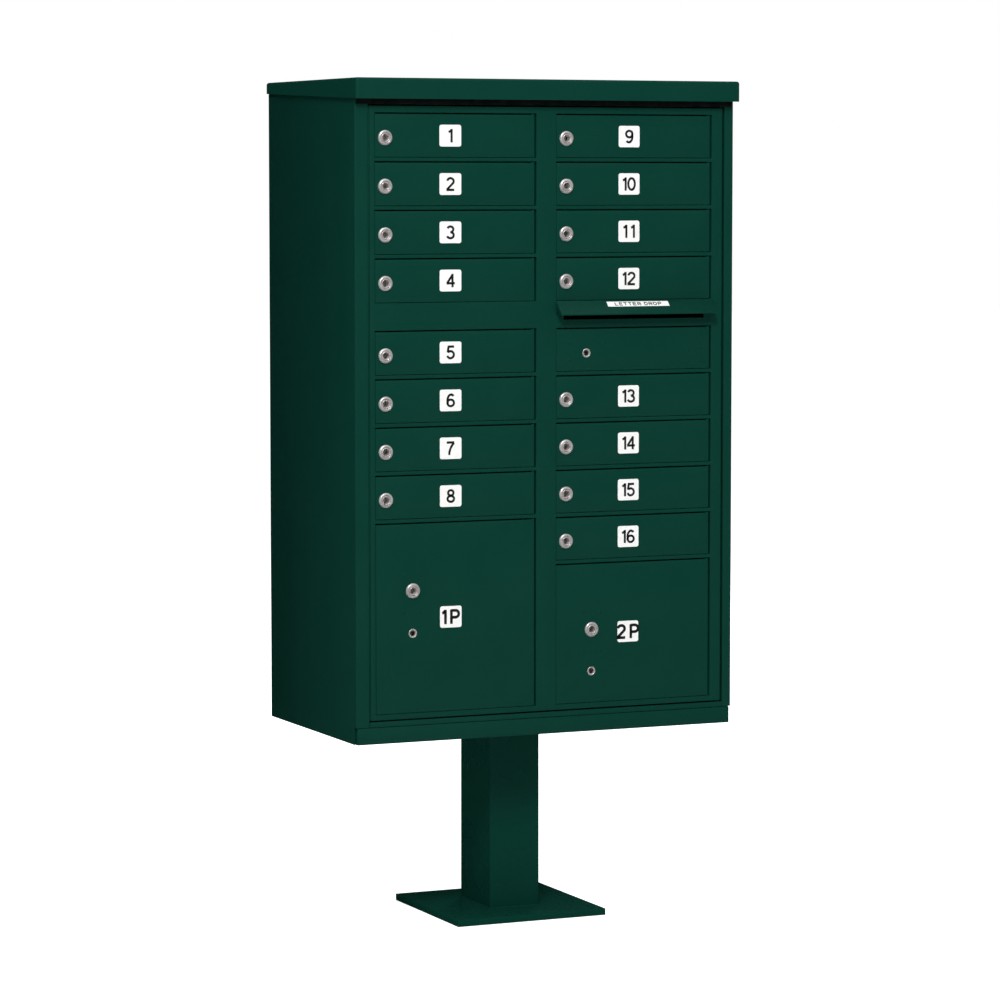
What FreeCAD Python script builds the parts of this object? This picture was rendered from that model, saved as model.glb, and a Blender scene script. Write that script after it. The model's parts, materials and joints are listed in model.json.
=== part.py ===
import FreeCAD, Part
import os

# Cluster mailbox unit on a pedestal: a sheet-metal cabinet with one wide master door
# that carries sixteen tenant doors, two parcel doors and an outgoing-mail door.
# Millimetres. The origin is the centre of the base plate's underside, +Z is up and
# the doors face -Y.

Vec = FreeCAD.Vector

# ---- Pedestal ----
BASE_W = 304.8                # square base plate
BASE_T = 12.7
ANCHOR_X = 64.0               # anchor bolt spacing, inside the post's footprint
ANCHOR_Y = 102.0
ANCHOR_HOLE_R = 7.0
POST_X = 101.6
POST_Y = 139.7
POST_WALL = 3.2
POST_CORNER_R = 2.0
HEAD_X = 203.2                # head plate that carries the cabinet
HEAD_Y = 254.0
HEAD_T = 6.4
HEAD_BOLT_X = 152.4           # head bolt spacing
HEAD_BOLT_Y = 203.2
BOLT_R = 4.75
BOLT_HOLE_GAP = 0.6
BOLT_HEAD_AF = 16.0
BOLT_HEAD_H = 6.4
BOLT_THREAD_OUT = 3.0         # thread standing out of the nut

# ---- Cabinet shell ----
SKIRT_BOTTOM_Z = 364.2        # lowest edge of the cabinet above the ground
SKIRT_H = 30.3
CABINET_W = 766.0
CABINET_D = 435.0
SHEET = 1.9
LEFT_FLANGE_W = 26.6
RIGHT_FLANGE_W = 17.8
JAMB_D = 22.0                 # depth of the return beside the master door
REAR_FLANGE_W = 20.0
BEND_R = 1.6
CORNER_NOTCH = 9.0            # side panel set back below its front flange
PAN_SIDE_GAP = 1.5
PAN_FRONT_SEAM = 1.0
FRAME_CHANNEL_D = 25.0
FRAME_END_GAP = 0.3
SILL_H = 10.5
HEADER_H = 45.5

# ---- Hood ----
HOOD_FRONT_OUT = 19.5
HOOD_SIDE_OUT = 4.35
HOOD_REAR_OUT = 2.7
HOOD_FASCIA_H = 37.8
HOOD_REAR_H = 21.0
HOOD_LIP = 12.0
HOOD_BEND_R = 5.0

# ---- Compartments ----
SHELF_T = 1.2
SHELF_LIP = 10.0
SHELF_SETBACK = 26.0          # front edges behind the cabinet's front plane
REAR_GAP = 0.2

# ---- Master door ----
MASTER_SIDE_GAP = 2.5
MASTER_END_GAP = 2.8
FRAME_D = 12.0                # depth of the door frame and of every door
LEFT_STILE_W = 10.0
CENTRE_STILE_W = 40.2
RIGHT_STILE_W = 24.3
TOP_RAIL_H = 11.95
BOTTOM_RAIL_H = 10.0
DOOR_RAIL_H = 6.7
ROW_PITCH = 87.65
BAND_H = 43.4                 # filler band and mail slot between rows four and five
PARCEL_OPENING_H = 350.25     # left parcel opening, the right one is a row shorter
MASTER_ROD_R = 2.5
MASTER_BARREL_R = 5.0
ROD_RUN_GAP = 0.1             # radial play of a door on its hinge rod
ROD_FIT_GAP = 0.05

# ---- Doors on the master door ----
DOOR_SKIN = 2.0
DOOR_GAP_LEFT = 0.6
DOOR_GAP_RIGHT = 2.2
DOOR_GAP_TOP = 2.5
DOOR_GAP_BOTTOM = 0.9
DOOR_ROD_R = 1.5
DOOR_BARREL_R = 4.0
BARREL_RISE = 1.2             # hinge barrel stands higher than the leaf
RETURN_END = 8.0              # folded edges stop this far from the hinge axis
PLATE_W = 43.0                # number plate
PLATE_H = 39.6
PLATE_T = 0.8
PLATE_R = 4.0
PLATE_FROM_EDGE = 148.0

# ---- Locks ----
LOCK_FROM_EDGE = 19.6         # tenant lock from the door's left edge
LOCK_BELOW_CENTRE = 4.0       # tenant lock below the middle of its door
BEZEL_R = 13.75
BEZEL_H = 4.0
LOCK_BODY_R = 9.5
PLUG_R = 6.0
PLUG_GAP = 0.3
LOCK_NUT_AF = 24.0
LOCK_NUT_T = 4.0
CAM_GAP = 1.0                 # cam behind the door frame
CAM_T = 2.5
CAM_W = 12.0
CAM_REACH = 26.8
CAM_SCREW_R = 4.0
CAM_SCREW_H = 3.0

# ---- Parcel and outgoing-mail locks ----
PARCEL_LOCK_FROM_EDGE = 72.5
PARCEL_LOCK_BELOW_TOP = 122.4
CARRIER_LOCK_BELOW_TOP = 200.7
OUTGOING_LOCK_FROM_EDGE = 61.3
OUTGOING_LOCK_BELOW_CENTRE = 6.0
SMALL_BODY_R = 8.25
SMALL_BEZEL_H = 0.7
SMALL_PLUG_R = 4.8
CASE_LONG = 84.0              # carrier lock case
CASE_SHORT = 46.0
CRANK_REACH = 16.0
BOLT_BAR_H = 14.0
BOLT_BAR_T = 3.0
BOLT_TRAVEL = 12.0
BOLT_SETBACK = 2.0            # withdrawn bolt inside the door's edge
BOLT_CRANK_GAP = 12.5
KEEPER_W = 10.0
KEEPER_T = 2.0
KEEPER_GAP = 0.5
KEEPER_FROM_EDGE = 6.0

# ---- Master latch ----
LATCH_H = 16.0
LATCH_T = 4.0
LATCH_TRAVEL = 10.0
LATCH_SETBACK = 1.0
LATCH_INTO_COLUMN = 36.0      # reach into the outgoing compartment
LATCH_TAB_W = 20.0
LATCH_TAB_DROP = 34.0
LATCH_TAB_T = 2.0

# ---- Mail slot ----
SLOT_W = 290.0
SLOT_H = 20.0
SLOT_HOOD_OUT = 24.0
SLOT_HOOD_DROP = 24.0
SLOT_HOOD_LIP = 2.6
SLOT_HOOD_T = 1.5

# ---- Levels and planes that follow from the sizes above ----
FRONT_Y = -CABINET_D / 2
BACK_Y = CABINET_D / 2
HALF_W = CABINET_W / 2
FLOOR_Z = SKIRT_BOTTOM_Z + SKIRT_H
SILL_Z = FLOOR_Z + SILL_H
MASTER_X0 = -HALF_W + LEFT_FLANGE_W + MASTER_SIDE_GAP
MASTER_X1 = HALF_W - RIGHT_FLANGE_W - MASTER_SIDE_GAP
OPENING_W = (MASTER_X1 - MASTER_X0 - LEFT_STILE_W - CENTRE_STILE_W - RIGHT_STILE_W) / 2
MASTER_Z0 = SILL_Z + MASTER_END_GAP
PARCEL_TOP_Z = MASTER_Z0 + BOTTOM_RAIL_H + PARCEL_OPENING_H
MASTER_Z1 = PARCEL_TOP_Z + 8 * ROW_PITCH + BAND_H + TOP_RAIL_H
HEADER_Z = MASTER_Z1 + MASTER_END_GAP
BODY_TOP_Z = HEADER_Z + HEADER_H
WALL_TOP_Z = BODY_TOP_Z - (HOOD_BEND_R - SHEET)
SHELF_FRONT_Y = FRONT_Y + SHELF_SETBACK
SHELF_BACK_Y = BACK_Y - 2 * SHEET - REAR_GAP
MASTER_HINGE_X = MASTER_X1 - MASTER_BARREL_R
MASTER_HINGE_Y = FRONT_Y + MASTER_BARREL_R
DOOR_HINGE_Y = FRONT_Y + DOOR_BARREL_R
CAM_Y = FRONT_Y + FRAME_D + CAM_GAP
LEFT_X = MASTER_X0 + LEFT_STILE_W
RIGHT_X = LEFT_X + OPENING_W + CENTRE_STILE_W
DIVIDER_X = RIGHT_X - CENTRE_STILE_W / 2


def box(x0, x1, y0, y1, z0, z1):
    """A block between two corners."""
    return Part.makeBox(x1 - x0, y1 - y0, z1 - z0, Vec(x0, y0, z0))


def rod_z(x, y, z0, z1, radius):
    """A round bar standing up."""
    return Part.makeCylinder(radius, z1 - z0, Vec(x, y, z0), Vec(0, 0, 1))


def rod_y(x, z, y0, y1, radius):
    """A round bar lying front to back."""
    return Part.makeCylinder(radius, y1 - y0, Vec(x, y0, z), Vec(0, 1, 0))


def prism(points, travel):
    """A flat outline pushed along a vector."""
    return Part.Face(Part.makePolygon(points + points[:1])).extrude(travel)


def prism_x(outline, x0, x1):
    """A front-to-back section, as (y, z) points, run from x0 to x1."""
    return prism([Vec(x0, y, z) for y, z in outline], Vec(x1 - x0, 0, 0))


def prism_z(outline, z0, z1):
    """A plan outline, as (x, y) points, run from z0 to z1."""
    return prism([Vec(x, y, z0) for x, y in outline], Vec(0, 0, z1 - z0))


def hexagon(centre, across_flats, height, axis):
    """A hexagonal head or nut that starts at centre and grows along axis (Y or Z)."""
    along_y = abs(axis.y) > abs(axis.z)
    spoke = Vec(across_flats / 3 ** 0.5, 0, 0)
    corners = []
    for index in range(6):
        turned = FreeCAD.Rotation(axis, 60 * index + 30 * along_y).multVec(spoke)
        corners.append(centre + turned)
    return prism(corners, axis * height)


def round_uprights(solid, radius, places):
    """Round the upright edges that stand at the given (x, y) places."""
    edges = []
    for edge in solid.Edges:
        first = edge.Vertexes[0].Point
        last = edge.Vertexes[-1].Point
        upright = abs(first.x - last.x) < 1e-6 and abs(first.y - last.y) < 1e-6
        if upright and any(abs(first.x - x) < 1e-6 and abs(first.y - y) < 1e-6 for x, y in places):
            edges.append(edge)
    return solid.makeFillet(radius, edges)


def four_places(spacing_x, spacing_y):
    """The corners of a rectangle of bolts centred on the origin."""
    return [(sx * spacing_x / 2, sy * spacing_y / 2) for sx in (-1, 1) for sy in (-1, 1)]


def save(node, *solids):
    """Write one named node, made of one or more separate solids."""
    shape = solids[0] if len(solids) == 1 else Part.makeCompound(list(solids))
    shape.exportStep("parts/" + node + ".step")


# ---- Pedestal ----

def make_pedestal():
    """Base plate, and the post with its head plate welded on."""
    plate = box(-BASE_W / 2, BASE_W / 2, -BASE_W / 2, BASE_W / 2, 0, BASE_T)
    for x, y in four_places(ANCHOR_X, ANCHOR_Y):
        plate = plate.cut(rod_z(x, y, 0, BASE_T, ANCHOR_HOLE_R))
    save("base_plate", plate)

    head_top = FLOOR_Z - SHEET
    head_bottom = head_top - HEAD_T
    half_x = POST_X / 2
    half_y = POST_Y / 2
    tube = box(-half_x, half_x, -half_y, half_y, BASE_T, head_bottom)
    tube = round_uprights(tube, POST_CORNER_R, four_places(POST_X, POST_Y))
    core_x = half_x - POST_WALL
    core_y = half_y - POST_WALL
    tube = tube.cut(box(-core_x, core_x, -core_y, core_y, BASE_T, head_bottom))
    head = box(-HEAD_X / 2, HEAD_X / 2, -HEAD_Y / 2, HEAD_Y / 2, head_bottom, head_top)
    head = head.cut(box(-core_x, core_x, -core_y, core_y, head_bottom, head_top))
    for x, y in four_places(HEAD_BOLT_X, HEAD_BOLT_Y):
        head = head.cut(rod_z(x, y, head_bottom, head_top, BOLT_R + BOLT_HOLE_GAP))
    save("pedestal_post", tube, head)

    bolts = []
    for x, y in four_places(HEAD_BOLT_X, HEAD_BOLT_Y):
        shank_end = head_bottom - BOLT_HEAD_H - BOLT_THREAD_OUT
        shank = rod_z(x, y, shank_end, FLOOR_Z, BOLT_R)
        bolt = shank.fuse(hexagon(Vec(x, y, FLOOR_Z), BOLT_HEAD_AF, BOLT_HEAD_H, Vec(0, 0, 1)))
        nut = hexagon(Vec(x, y, head_bottom), BOLT_HEAD_AF, BOLT_HEAD_H, Vec(0, 0, -1))
        bolts += [bolt, nut.cut(rod_z(x, y, shank_end, FLOOR_Z, BOLT_R + ROD_FIT_GAP))]
    save("head_bolts", *bolts)


# ---- Cabinet shell ----

def make_bottom_pan():
    """Floor with its edges folded down into a skirt."""
    half = HALF_W - SHEET - PAN_SIDE_GAP
    rear = BACK_Y - SHEET
    pan = box(-half, half, FRONT_Y, rear, SKIRT_BOTTOM_Z, FLOOR_Z)
    inside = box(-half + SHEET, half - SHEET, FRONT_Y + SHEET, rear - SHEET, SKIRT_BOTTOM_Z, FLOOR_Z - SHEET)
    pan = pan.cut(inside)
    for x, y in four_places(HEAD_BOLT_X, HEAD_BOLT_Y):
        pan = pan.cut(rod_z(x, y, SKIRT_BOTTOM_Z, FLOOR_Z, BOLT_R + BOLT_HOLE_GAP))
    save("bottom_pan", pan)


def make_side_panel(node, side, flange_w):
    """Folded side wall: front flange, jamb return and rear flange. side is -1 left, 1 right."""
    wall = HALF_W
    inner = HALF_W - SHEET
    jamb = HALF_W - flange_w
    rear = BACK_Y - SHEET
    outline = [
        (wall, FRONT_Y), (jamb, FRONT_Y), (jamb, FRONT_Y + JAMB_D),
        (jamb + SHEET, FRONT_Y + JAMB_D), (jamb + SHEET, FRONT_Y + SHEET),
        (inner, FRONT_Y + SHEET), (inner, rear - SHEET), (HALF_W - REAR_FLANGE_W, rear - SHEET),
        (HALF_W - REAR_FLANGE_W, rear), (wall, rear),
    ]
    outline = [(side * x, y) for x, y in outline]
    panel = prism_z(outline, FLOOR_Z + PAN_FRONT_SEAM, WALL_TOP_Z)
    panel = round_uprights(panel, BEND_R, [(side * wall, FRONT_Y), (side * jamb, FRONT_Y)])
    low_x = sorted((side * wall, side * inner))
    lower_wall = box(*low_x, FRONT_Y + CORNER_NOTCH, rear, SKIRT_BOTTOM_Z, FLOOR_Z + PAN_FRONT_SEAM)
    panel = panel.fuse(lower_wall).removeSplitter()
    if side < 0:
        slot_z = latch_z()
        slot_y = CAM_Y - KEEPER_GAP
        slot = box(-wall, -jamb + SHEET, slot_y, slot_y + LATCH_T + 2 * KEEPER_GAP,
                   slot_z - LATCH_H / 2 - CAM_GAP, slot_z + LATCH_H / 2 + CAM_GAP)
        wall_side = box(-wall, -jamb - SHEET, FRONT_Y, rear, SKIRT_BOTTOM_Z, BODY_TOP_Z)
        panel = panel.cut(slot.cut(wall_side))
    save(node, panel)


def make_shell():
    """Side panels, back panel, header and sill, and the compartment divider."""
    make_side_panel("side_panel_left", -1, LEFT_FLANGE_W)
    make_side_panel("side_panel_right", 1, RIGHT_FLANGE_W)
    save("back_panel", box(-HALF_W, HALF_W, BACK_Y - SHEET, BACK_Y, SKIRT_BOTTOM_Z, WALL_TOP_Z))

    x0 = -HALF_W + LEFT_FLANGE_W + FRAME_END_GAP
    x1 = HALF_W - RIGHT_FLANGE_W - FRAME_END_GAP
    deep = FRONT_Y + FRAME_CHANNEL_D
    skin = FRONT_Y + SHEET
    header = prism_x([
        (FRONT_Y, HEADER_Z), (deep, HEADER_Z), (deep, HEADER_Z + SHEET), (skin, HEADER_Z + SHEET),
        (skin, BODY_TOP_Z - SHEET), (deep, BODY_TOP_Z - SHEET), (deep, BODY_TOP_Z), (FRONT_Y, BODY_TOP_Z),
    ], x0, x1)
    sill = prism_x([
        (FRONT_Y, FLOOR_Z + PAN_FRONT_SEAM), (skin, FLOOR_Z + PAN_FRONT_SEAM), (skin, SILL_Z - SHEET),
        (deep - SHEET, SILL_Z - SHEET), (deep - SHEET, FLOOR_Z), (deep, FLOOR_Z), (deep, SILL_Z), (FRONT_Y, SILL_Z),
    ], x0, x1)
    rod_hole = rod_z(MASTER_HINGE_X, MASTER_HINGE_Y, FLOOR_Z, HEADER_Z + SHEET, MASTER_ROD_R + ROD_FIT_GAP)
    save("front_frame", header.cut(rod_hole), sill.cut(rod_hole))
    rod_top = HEADER_Z + 2 * SHEET
    save("master_hinge_rod", rod_z(MASTER_HINGE_X, MASTER_HINGE_Y, FLOOR_Z, rod_top, MASTER_ROD_R))
    save("centre_divider", box(DIVIDER_X - SHELF_T / 2, DIVIDER_X + SHELF_T / 2,
                               SHELF_FRONT_Y, SHELF_BACK_Y, FLOOR_Z, BODY_TOP_Z))


def make_hood():
    """Folded cap with a deep front fascia and side skirts that taper to the rear."""
    half = HALF_W + HOOD_SIDE_OUT
    front = FRONT_Y - HOOD_FRONT_OUT
    rear = BACK_Y + HOOD_REAR_OUT
    top = BODY_TOP_Z + SHEET
    low = top - HOOD_FASCIA_H
    outer = box(-half, half, front, rear, low, top)
    hidden = [edge for edge in outer.Edges if max(v.Z for v in edge.Vertexes) < top - 1e-6]
    bends = [edge for edge in outer.Edges if not any(edge.isSame(other) for other in hidden)]
    outer = outer.makeFillet(HOOD_BEND_R, bends)
    inner = box(-half + SHEET, half - SHEET, front + SHEET, rear - SHEET, low, BODY_TOP_Z)
    inner_bends = [edge for edge in inner.Edges if max(v.Z for v in edge.Vertexes) > BODY_TOP_Z - 1e-6]
    inner = inner.makeFillet(HOOD_BEND_R - SHEET, inner_bends)
    taper = prism_x([(front, low), (rear, top - HOOD_REAR_H), (rear, low)], -half, half)
    cap = outer.cut(inner).cut(taper)
    lip = box(-half + HOOD_BEND_R, half - HOOD_BEND_R, front + SHEET, front + SHEET + HOOD_LIP,
              low + SHEET, low + 2 * SHEET)
    save("hood", cap.fuse(lip))


# ---- Door layout ----

def row_opening(row):
    """Bottom and top of the opening of a row, counted from 0 at the top of a column."""
    top = MASTER_Z1 - TOP_RAIL_H - row * ROW_PITCH - (BAND_H if row > 3 else 0)
    return top - ROW_PITCH + DOOR_RAIL_H, top


def band_opening():
    """Bottom and top of the filler band between the fourth and fifth rows."""
    bottom = row_opening(4)[1] + DOOR_RAIL_H
    return bottom, row_opening(3)[0] - DOOR_RAIL_H


def latch_z():
    """Height of the master latch bar, behind the filler band."""
    low, high = band_opening()
    return (low + high) / 2


def parcel_opening(rows_above):
    """Bottom and top of a parcel opening under the given number of rows."""
    return MASTER_Z0 + BOTTOM_RAIL_H, row_opening(rows_above)[1]


LEFT_DOORS = [("door_%02d" % (row + 1), row_opening(row)) for row in range(8)]
LEFT_DOORS.append(("parcel_door_1", parcel_opening(8)))
RIGHT_DOORS = [("door_%02d" % (row + 9), row_opening(row)) for row in range(4)]
RIGHT_DOORS.append(("outgoing_door", row_opening(4)))
RIGHT_DOORS += [("door_%02d" % (row + 8), row_opening(row)) for row in range(5, 9)]
RIGHT_DOORS.append(("parcel_door_2", parcel_opening(9)))
COLUMNS = [(LEFT_X, LEFT_DOORS), (RIGHT_X, RIGHT_DOORS)]


# ---- Master door ----

def hinge_x(column_x):
    """Where the hinge rod of a column stands."""
    return column_x + OPENING_W - DOOR_GAP_RIGHT - DOOR_BARREL_R


def make_master_frame():
    """Welded frame of stiles and rails that carries every door."""
    front = FRONT_Y
    back = FRONT_Y + FRAME_D
    left = box(MASTER_X0, LEFT_X, front, back, MASTER_Z0, MASTER_Z1)
    centre = box(RIGHT_X - CENTRE_STILE_W, RIGHT_X, front, back, MASTER_Z0, MASTER_Z1)
    right = box(MASTER_X1 - RIGHT_STILE_W, MASTER_X1, front, back, MASTER_Z0, MASTER_Z1)
    right = round_uprights(right, MASTER_BARREL_R - ROD_FIT_GAP, [(MASTER_X1, front)])
    right = right.cut(rod_z(MASTER_HINGE_X, MASTER_HINGE_Y, MASTER_Z0, MASTER_Z1, MASTER_ROD_R + ROD_RUN_GAP))
    bars = [left, centre, right]
    rods = []
    for column_x, doors in COLUMNS:
        rod_x = hinge_x(column_x)
        hole = rod_z(rod_x, DOOR_HINGE_Y, MASTER_Z0, MASTER_Z1, DOOR_ROD_R + ROD_FIT_GAP)
        openings = sorted([opening for node, opening in doors] + [band_opening()])
        lows = [MASTER_Z0] + [top for bottom, top in openings]
        highs = [bottom for bottom, top in openings] + [MASTER_Z1]
        for low, high in zip(lows, highs):
            rail = box(column_x, column_x + OPENING_W, front, back, low, high)
            bars.append(rail.cut(hole))
        rods.append(rod_z(rod_x, DOOR_HINGE_Y, MASTER_Z0, MASTER_Z1, DOOR_ROD_R))
    save("master_frame", *bars)
    save("door_hinge_rods", *rods)


def make_band_panels():
    """Blank filler panel at the left and slotted panel at the right, and the latch keepers."""
    low, high = band_opening()
    back = FRONT_Y + FRAME_D
    panels = []
    for column_x in (LEFT_X, RIGHT_X):
        x1 = column_x + OPENING_W
        fold_end = hinge_x(column_x) - RETURN_END
        skin = box(column_x, x1, FRONT_Y, FRONT_Y + DOOR_SKIN, low, high)
        fold_low = box(column_x, fold_end, FRONT_Y + DOOR_SKIN, back, low, low + DOOR_SKIN)
        fold_high = box(column_x, fold_end, FRONT_Y + DOOR_SKIN, back, high - DOOR_SKIN, high)
        panels.append(skin.multiFuse([fold_low, fold_high]).removeSplitter())
    slot_mid = RIGHT_X + OPENING_W / 2
    slot_low = (low + high - SLOT_H) / 2
    slot = box(slot_mid - SLOT_W / 2, slot_mid + SLOT_W / 2, FRONT_Y, FRONT_Y + DOOR_SKIN,
               slot_low, slot_low + SLOT_H)
    panels[1] = panels[1].cut(slot)
    inner = back + CAM_GAP + LATCH_T + KEEPER_GAP
    for mid in (LEFT_X + 3 * KEEPER_FROM_EDGE, LEFT_X + OPENING_W / 2):
        x0 = mid - KEEPER_W / 2
        x1 = mid + KEEPER_W / 2
        bridge = box(x0, x1, inner, inner + KEEPER_T, low, high)
        legs = [box(x0, x1, back, inner, low, low + KEEPER_T), box(x0, x1, back, inner, high - KEEPER_T, high)]
        panels.append(bridge.multiFuse(legs).removeSplitter())
    save("band_panels", *panels)


def make_slot_hood():
    """Weather hood over the mail slot: a sloped sheet, a small lip and two end cheeks."""
    top = row_opening(3)[0]
    front = FRONT_Y - SLOT_HOOD_OUT
    edge_z = top - SLOT_HOOD_DROP
    x1 = RIGHT_X + OPENING_W
    sheet = prism_x([
        (FRONT_Y, top), (front, edge_z), (front, edge_z - SLOT_HOOD_LIP),
        (front + SLOT_HOOD_T, edge_z - SLOT_HOOD_LIP), (front + SLOT_HOOD_T, edge_z - SLOT_HOOD_T / 2),
        (FRONT_Y, top - 1.5 * SLOT_HOOD_T),
    ], RIGHT_X, x1)
    cheek = [(FRONT_Y, top), (front, edge_z), (front, edge_z - SLOT_HOOD_LIP), (FRONT_Y, edge_z)]
    cheeks = [prism_x(cheek, RIGHT_X, RIGHT_X + SLOT_HOOD_T), prism_x(cheek, x1 - SLOT_HOOD_T, x1)]
    save("mail_slot_hood", sheet.multiFuse(cheeks).removeSplitter())


def make_master_latch():
    """Sliding bar behind the filler band, with a pull tab in the outgoing compartment."""
    z = latch_z()
    x1 = RIGHT_X + LATCH_INTO_COLUMN
    bar = box(MASTER_X0 + LATCH_SETBACK, x1, CAM_Y, CAM_Y + LATCH_T, z - LATCH_H / 2, z + LATCH_H / 2)
    tab = box(x1 - LATCH_TAB_W, x1, CAM_Y + LATCH_T, CAM_Y + LATCH_T + LATCH_TAB_T,
              z - LATCH_TAB_DROP, z + LATCH_H / 2)
    save("master_latch", bar.fuse(tab))


# ---- Doors and locks ----

def make_leaf(x0, rod_x, z0, z1):
    """Folded door leaf with its hinge barrel."""
    skin = box(x0, rod_x, FRONT_Y, FRONT_Y + DOOR_SKIN, z0, z1)
    back = FRONT_Y + FRAME_D
    fold_end = rod_x - RETURN_END
    folds = [
        box(x0, x0 + DOOR_SKIN, FRONT_Y, back, z0, z1),
        box(x0, fold_end, FRONT_Y, back, z0, z0 + DOOR_SKIN),
        box(x0, fold_end, FRONT_Y, back, z1 - DOOR_SKIN, z1),
        rod_z(rod_x, DOOR_HINGE_Y, z0, z1 + BARREL_RISE, DOOR_BARREL_R),
    ]
    leaf = skin.multiFuse(folds).removeSplitter()
    return leaf.cut(rod_z(rod_x, DOOR_HINGE_Y, z0, z1 + BARREL_RISE, DOOR_ROD_R + ROD_RUN_GAP))


def make_number_plate(x, z):
    """Thin plate with rounded corners on the door's face."""
    plate = box(x - PLATE_W / 2, x + PLATE_W / 2, FRONT_Y - PLATE_T, FRONT_Y, z - PLATE_H / 2, z + PLATE_H / 2)
    corners = [edge for edge in plate.Edges if abs(edge.Length - PLATE_T) < 1e-6]
    return plate.makeFillet(PLATE_R, corners)


def make_lock_body(x, z):
    """Customer lock housing with a domed bezel, and the nut behind the door."""
    rear = CAM_Y - PLUG_GAP
    body = rod_y(x, z, FRONT_Y, rear, LOCK_BODY_R)
    bezel = Part.makeCone(BEZEL_R - BEZEL_H / 2, BEZEL_R, BEZEL_H, Vec(x, FRONT_Y - BEZEL_H, z), Vec(0, 1, 0))
    bore = rod_y(x, z, FRONT_Y - BEZEL_H, rear, PLUG_R + PLUG_GAP)
    nut = hexagon(Vec(x, FRONT_Y + DOOR_SKIN, z), LOCK_NUT_AF, LOCK_NUT_T, Vec(0, 1, 0))
    nut = nut.cut(rod_y(x, z, FRONT_Y, CAM_Y, LOCK_BODY_R + ROD_FIT_GAP))
    return [body.fuse(bezel).cut(bore), nut]


def make_carrier_case(x, z, width, height):
    """Carrier lock: a low ring in the door's face and a case behind it."""
    back = FRONT_Y + FRAME_D
    ring = rod_y(x, z, FRONT_Y - SMALL_BEZEL_H, FRONT_Y + DOOR_SKIN, SMALL_BODY_R)
    case = box(x - width / 2, x + width / 2, FRONT_Y + DOOR_SKIN, back, z - height / 2, z + height / 2)
    bore = rod_y(x, z, FRONT_Y - SMALL_BEZEL_H, back, SMALL_PLUG_R + PLUG_GAP)
    return ring.fuse(case).cut(bore)


def make_plug(x, z, face_out, radius, reach):
    """Lock plug with its cam hanging down, which is the unlocked state, and the cam screw."""
    plug = rod_y(x, z, FRONT_Y - face_out, CAM_Y + CAM_T, radius)
    half = CAM_W / 2
    arm = box(x - half, x + half, CAM_Y, CAM_Y + CAM_T, z - reach, z)
    boss = rod_y(x, z, CAM_Y, CAM_Y + CAM_T, half)
    screw = rod_y(x, z, CAM_Y + CAM_T, CAM_Y + CAM_T + CAM_SCREW_H, CAM_SCREW_R)
    return plug.multiFuse([boss, arm, screw]).removeSplitter()


def make_bolt(x0, lock_x, z):
    """Bolt bar that its lock's crank drives to the left, behind the stile."""
    return box(x0 + BOLT_SETBACK, lock_x - BOLT_CRANK_GAP, CAM_Y, CAM_Y + BOLT_BAR_T,
               z - BOLT_BAR_H / 2, z + BOLT_BAR_H / 2)


def make_keeper(x0, z):
    """Bridge on the door's back that guides a bolt bar."""
    inner = CAM_Y + BOLT_BAR_T + KEEPER_GAP
    near = x0 + KEEPER_FROM_EDGE
    reach = BOLT_BAR_H / 2 + KEEPER_GAP
    bridge = box(near, near + KEEPER_W, inner, inner + KEEPER_T, z - reach - KEEPER_T, z + reach + KEEPER_T)
    legs = [
        box(near, near + KEEPER_W, FRONT_Y + DOOR_SKIN, inner, z - reach - KEEPER_T, z - reach),
        box(near, near + KEEPER_W, FRONT_Y + DOOR_SKIN, inner, z + reach, z + reach + KEEPER_T),
    ]
    return bridge.multiFuse(legs).removeSplitter()


def make_door(node, column_x, opening):
    """One door with its lock housings, and the plugs, cams and bolts that turn and slide on it."""
    x0 = column_x + DOOR_GAP_LEFT
    z0 = opening[0] + DOOR_GAP_BOTTOM
    z1 = opening[1] - DOOR_GAP_TOP
    middle_z = (z0 + z1) / 2
    leaf = make_leaf(x0, hinge_x(column_x), z0, z1)
    number = node[-1] if node.startswith("parcel") else node[-2:]
    solids = []
    hole_gap = ROD_FIT_GAP

    if node == "outgoing_door":
        x = x0 + OUTGOING_LOCK_FROM_EDGE
        z = middle_z - OUTGOING_LOCK_BELOW_CENTRE
        leaf = leaf.cut(rod_y(x, z, FRONT_Y, CAM_Y, SMALL_BODY_R + hole_gap))
        solids += [make_carrier_case(x, z, CASE_LONG, CASE_SHORT), make_keeper(x0, z)]
        save("outgoing_lock", make_plug(x, z, 0, SMALL_PLUG_R, CRANK_REACH))
        save("outgoing_bolt", make_bolt(x0, x, z))
    elif node.startswith("parcel"):
        x = x0 + PARCEL_LOCK_FROM_EDGE
        z = z1 - PARCEL_LOCK_BELOW_TOP
        small_z = z1 - CARRIER_LOCK_BELOW_TOP
        leaf = leaf.cut(rod_y(x, z, FRONT_Y, CAM_Y, LOCK_BODY_R + hole_gap))
        leaf = leaf.cut(rod_y(x, small_z, FRONT_Y, CAM_Y, SMALL_BODY_R + hole_gap))
        solids += make_lock_body(x, z) + [make_keeper(x0, z)]
        solids.append(make_carrier_case(x, small_z, CASE_SHORT, CASE_LONG))
        save("parcel_lock_" + number, make_plug(x, z, BEZEL_H, PLUG_R, CRANK_REACH))
        save("carrier_lock_" + number, make_plug(x, small_z, 0, SMALL_PLUG_R, CRANK_REACH))
        save("parcel_bolt_" + number, make_bolt(x0, x, z))
    else:
        x = x0 + LOCK_FROM_EDGE
        z = middle_z - LOCK_BELOW_CENTRE
        leaf = leaf.cut(rod_y(x, z, FRONT_Y, CAM_Y, LOCK_BODY_R + hole_gap))
        solids += make_lock_body(x, z)
        save("lock_" + number, make_plug(x, z, BEZEL_H, PLUG_R, CAM_REACH))

    if node != "outgoing_door":
        solids.append(make_number_plate(x0 + PLATE_FROM_EDGE, middle_z))
    save(node, leaf, *solids)


# ---- Compartments ----

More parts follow.
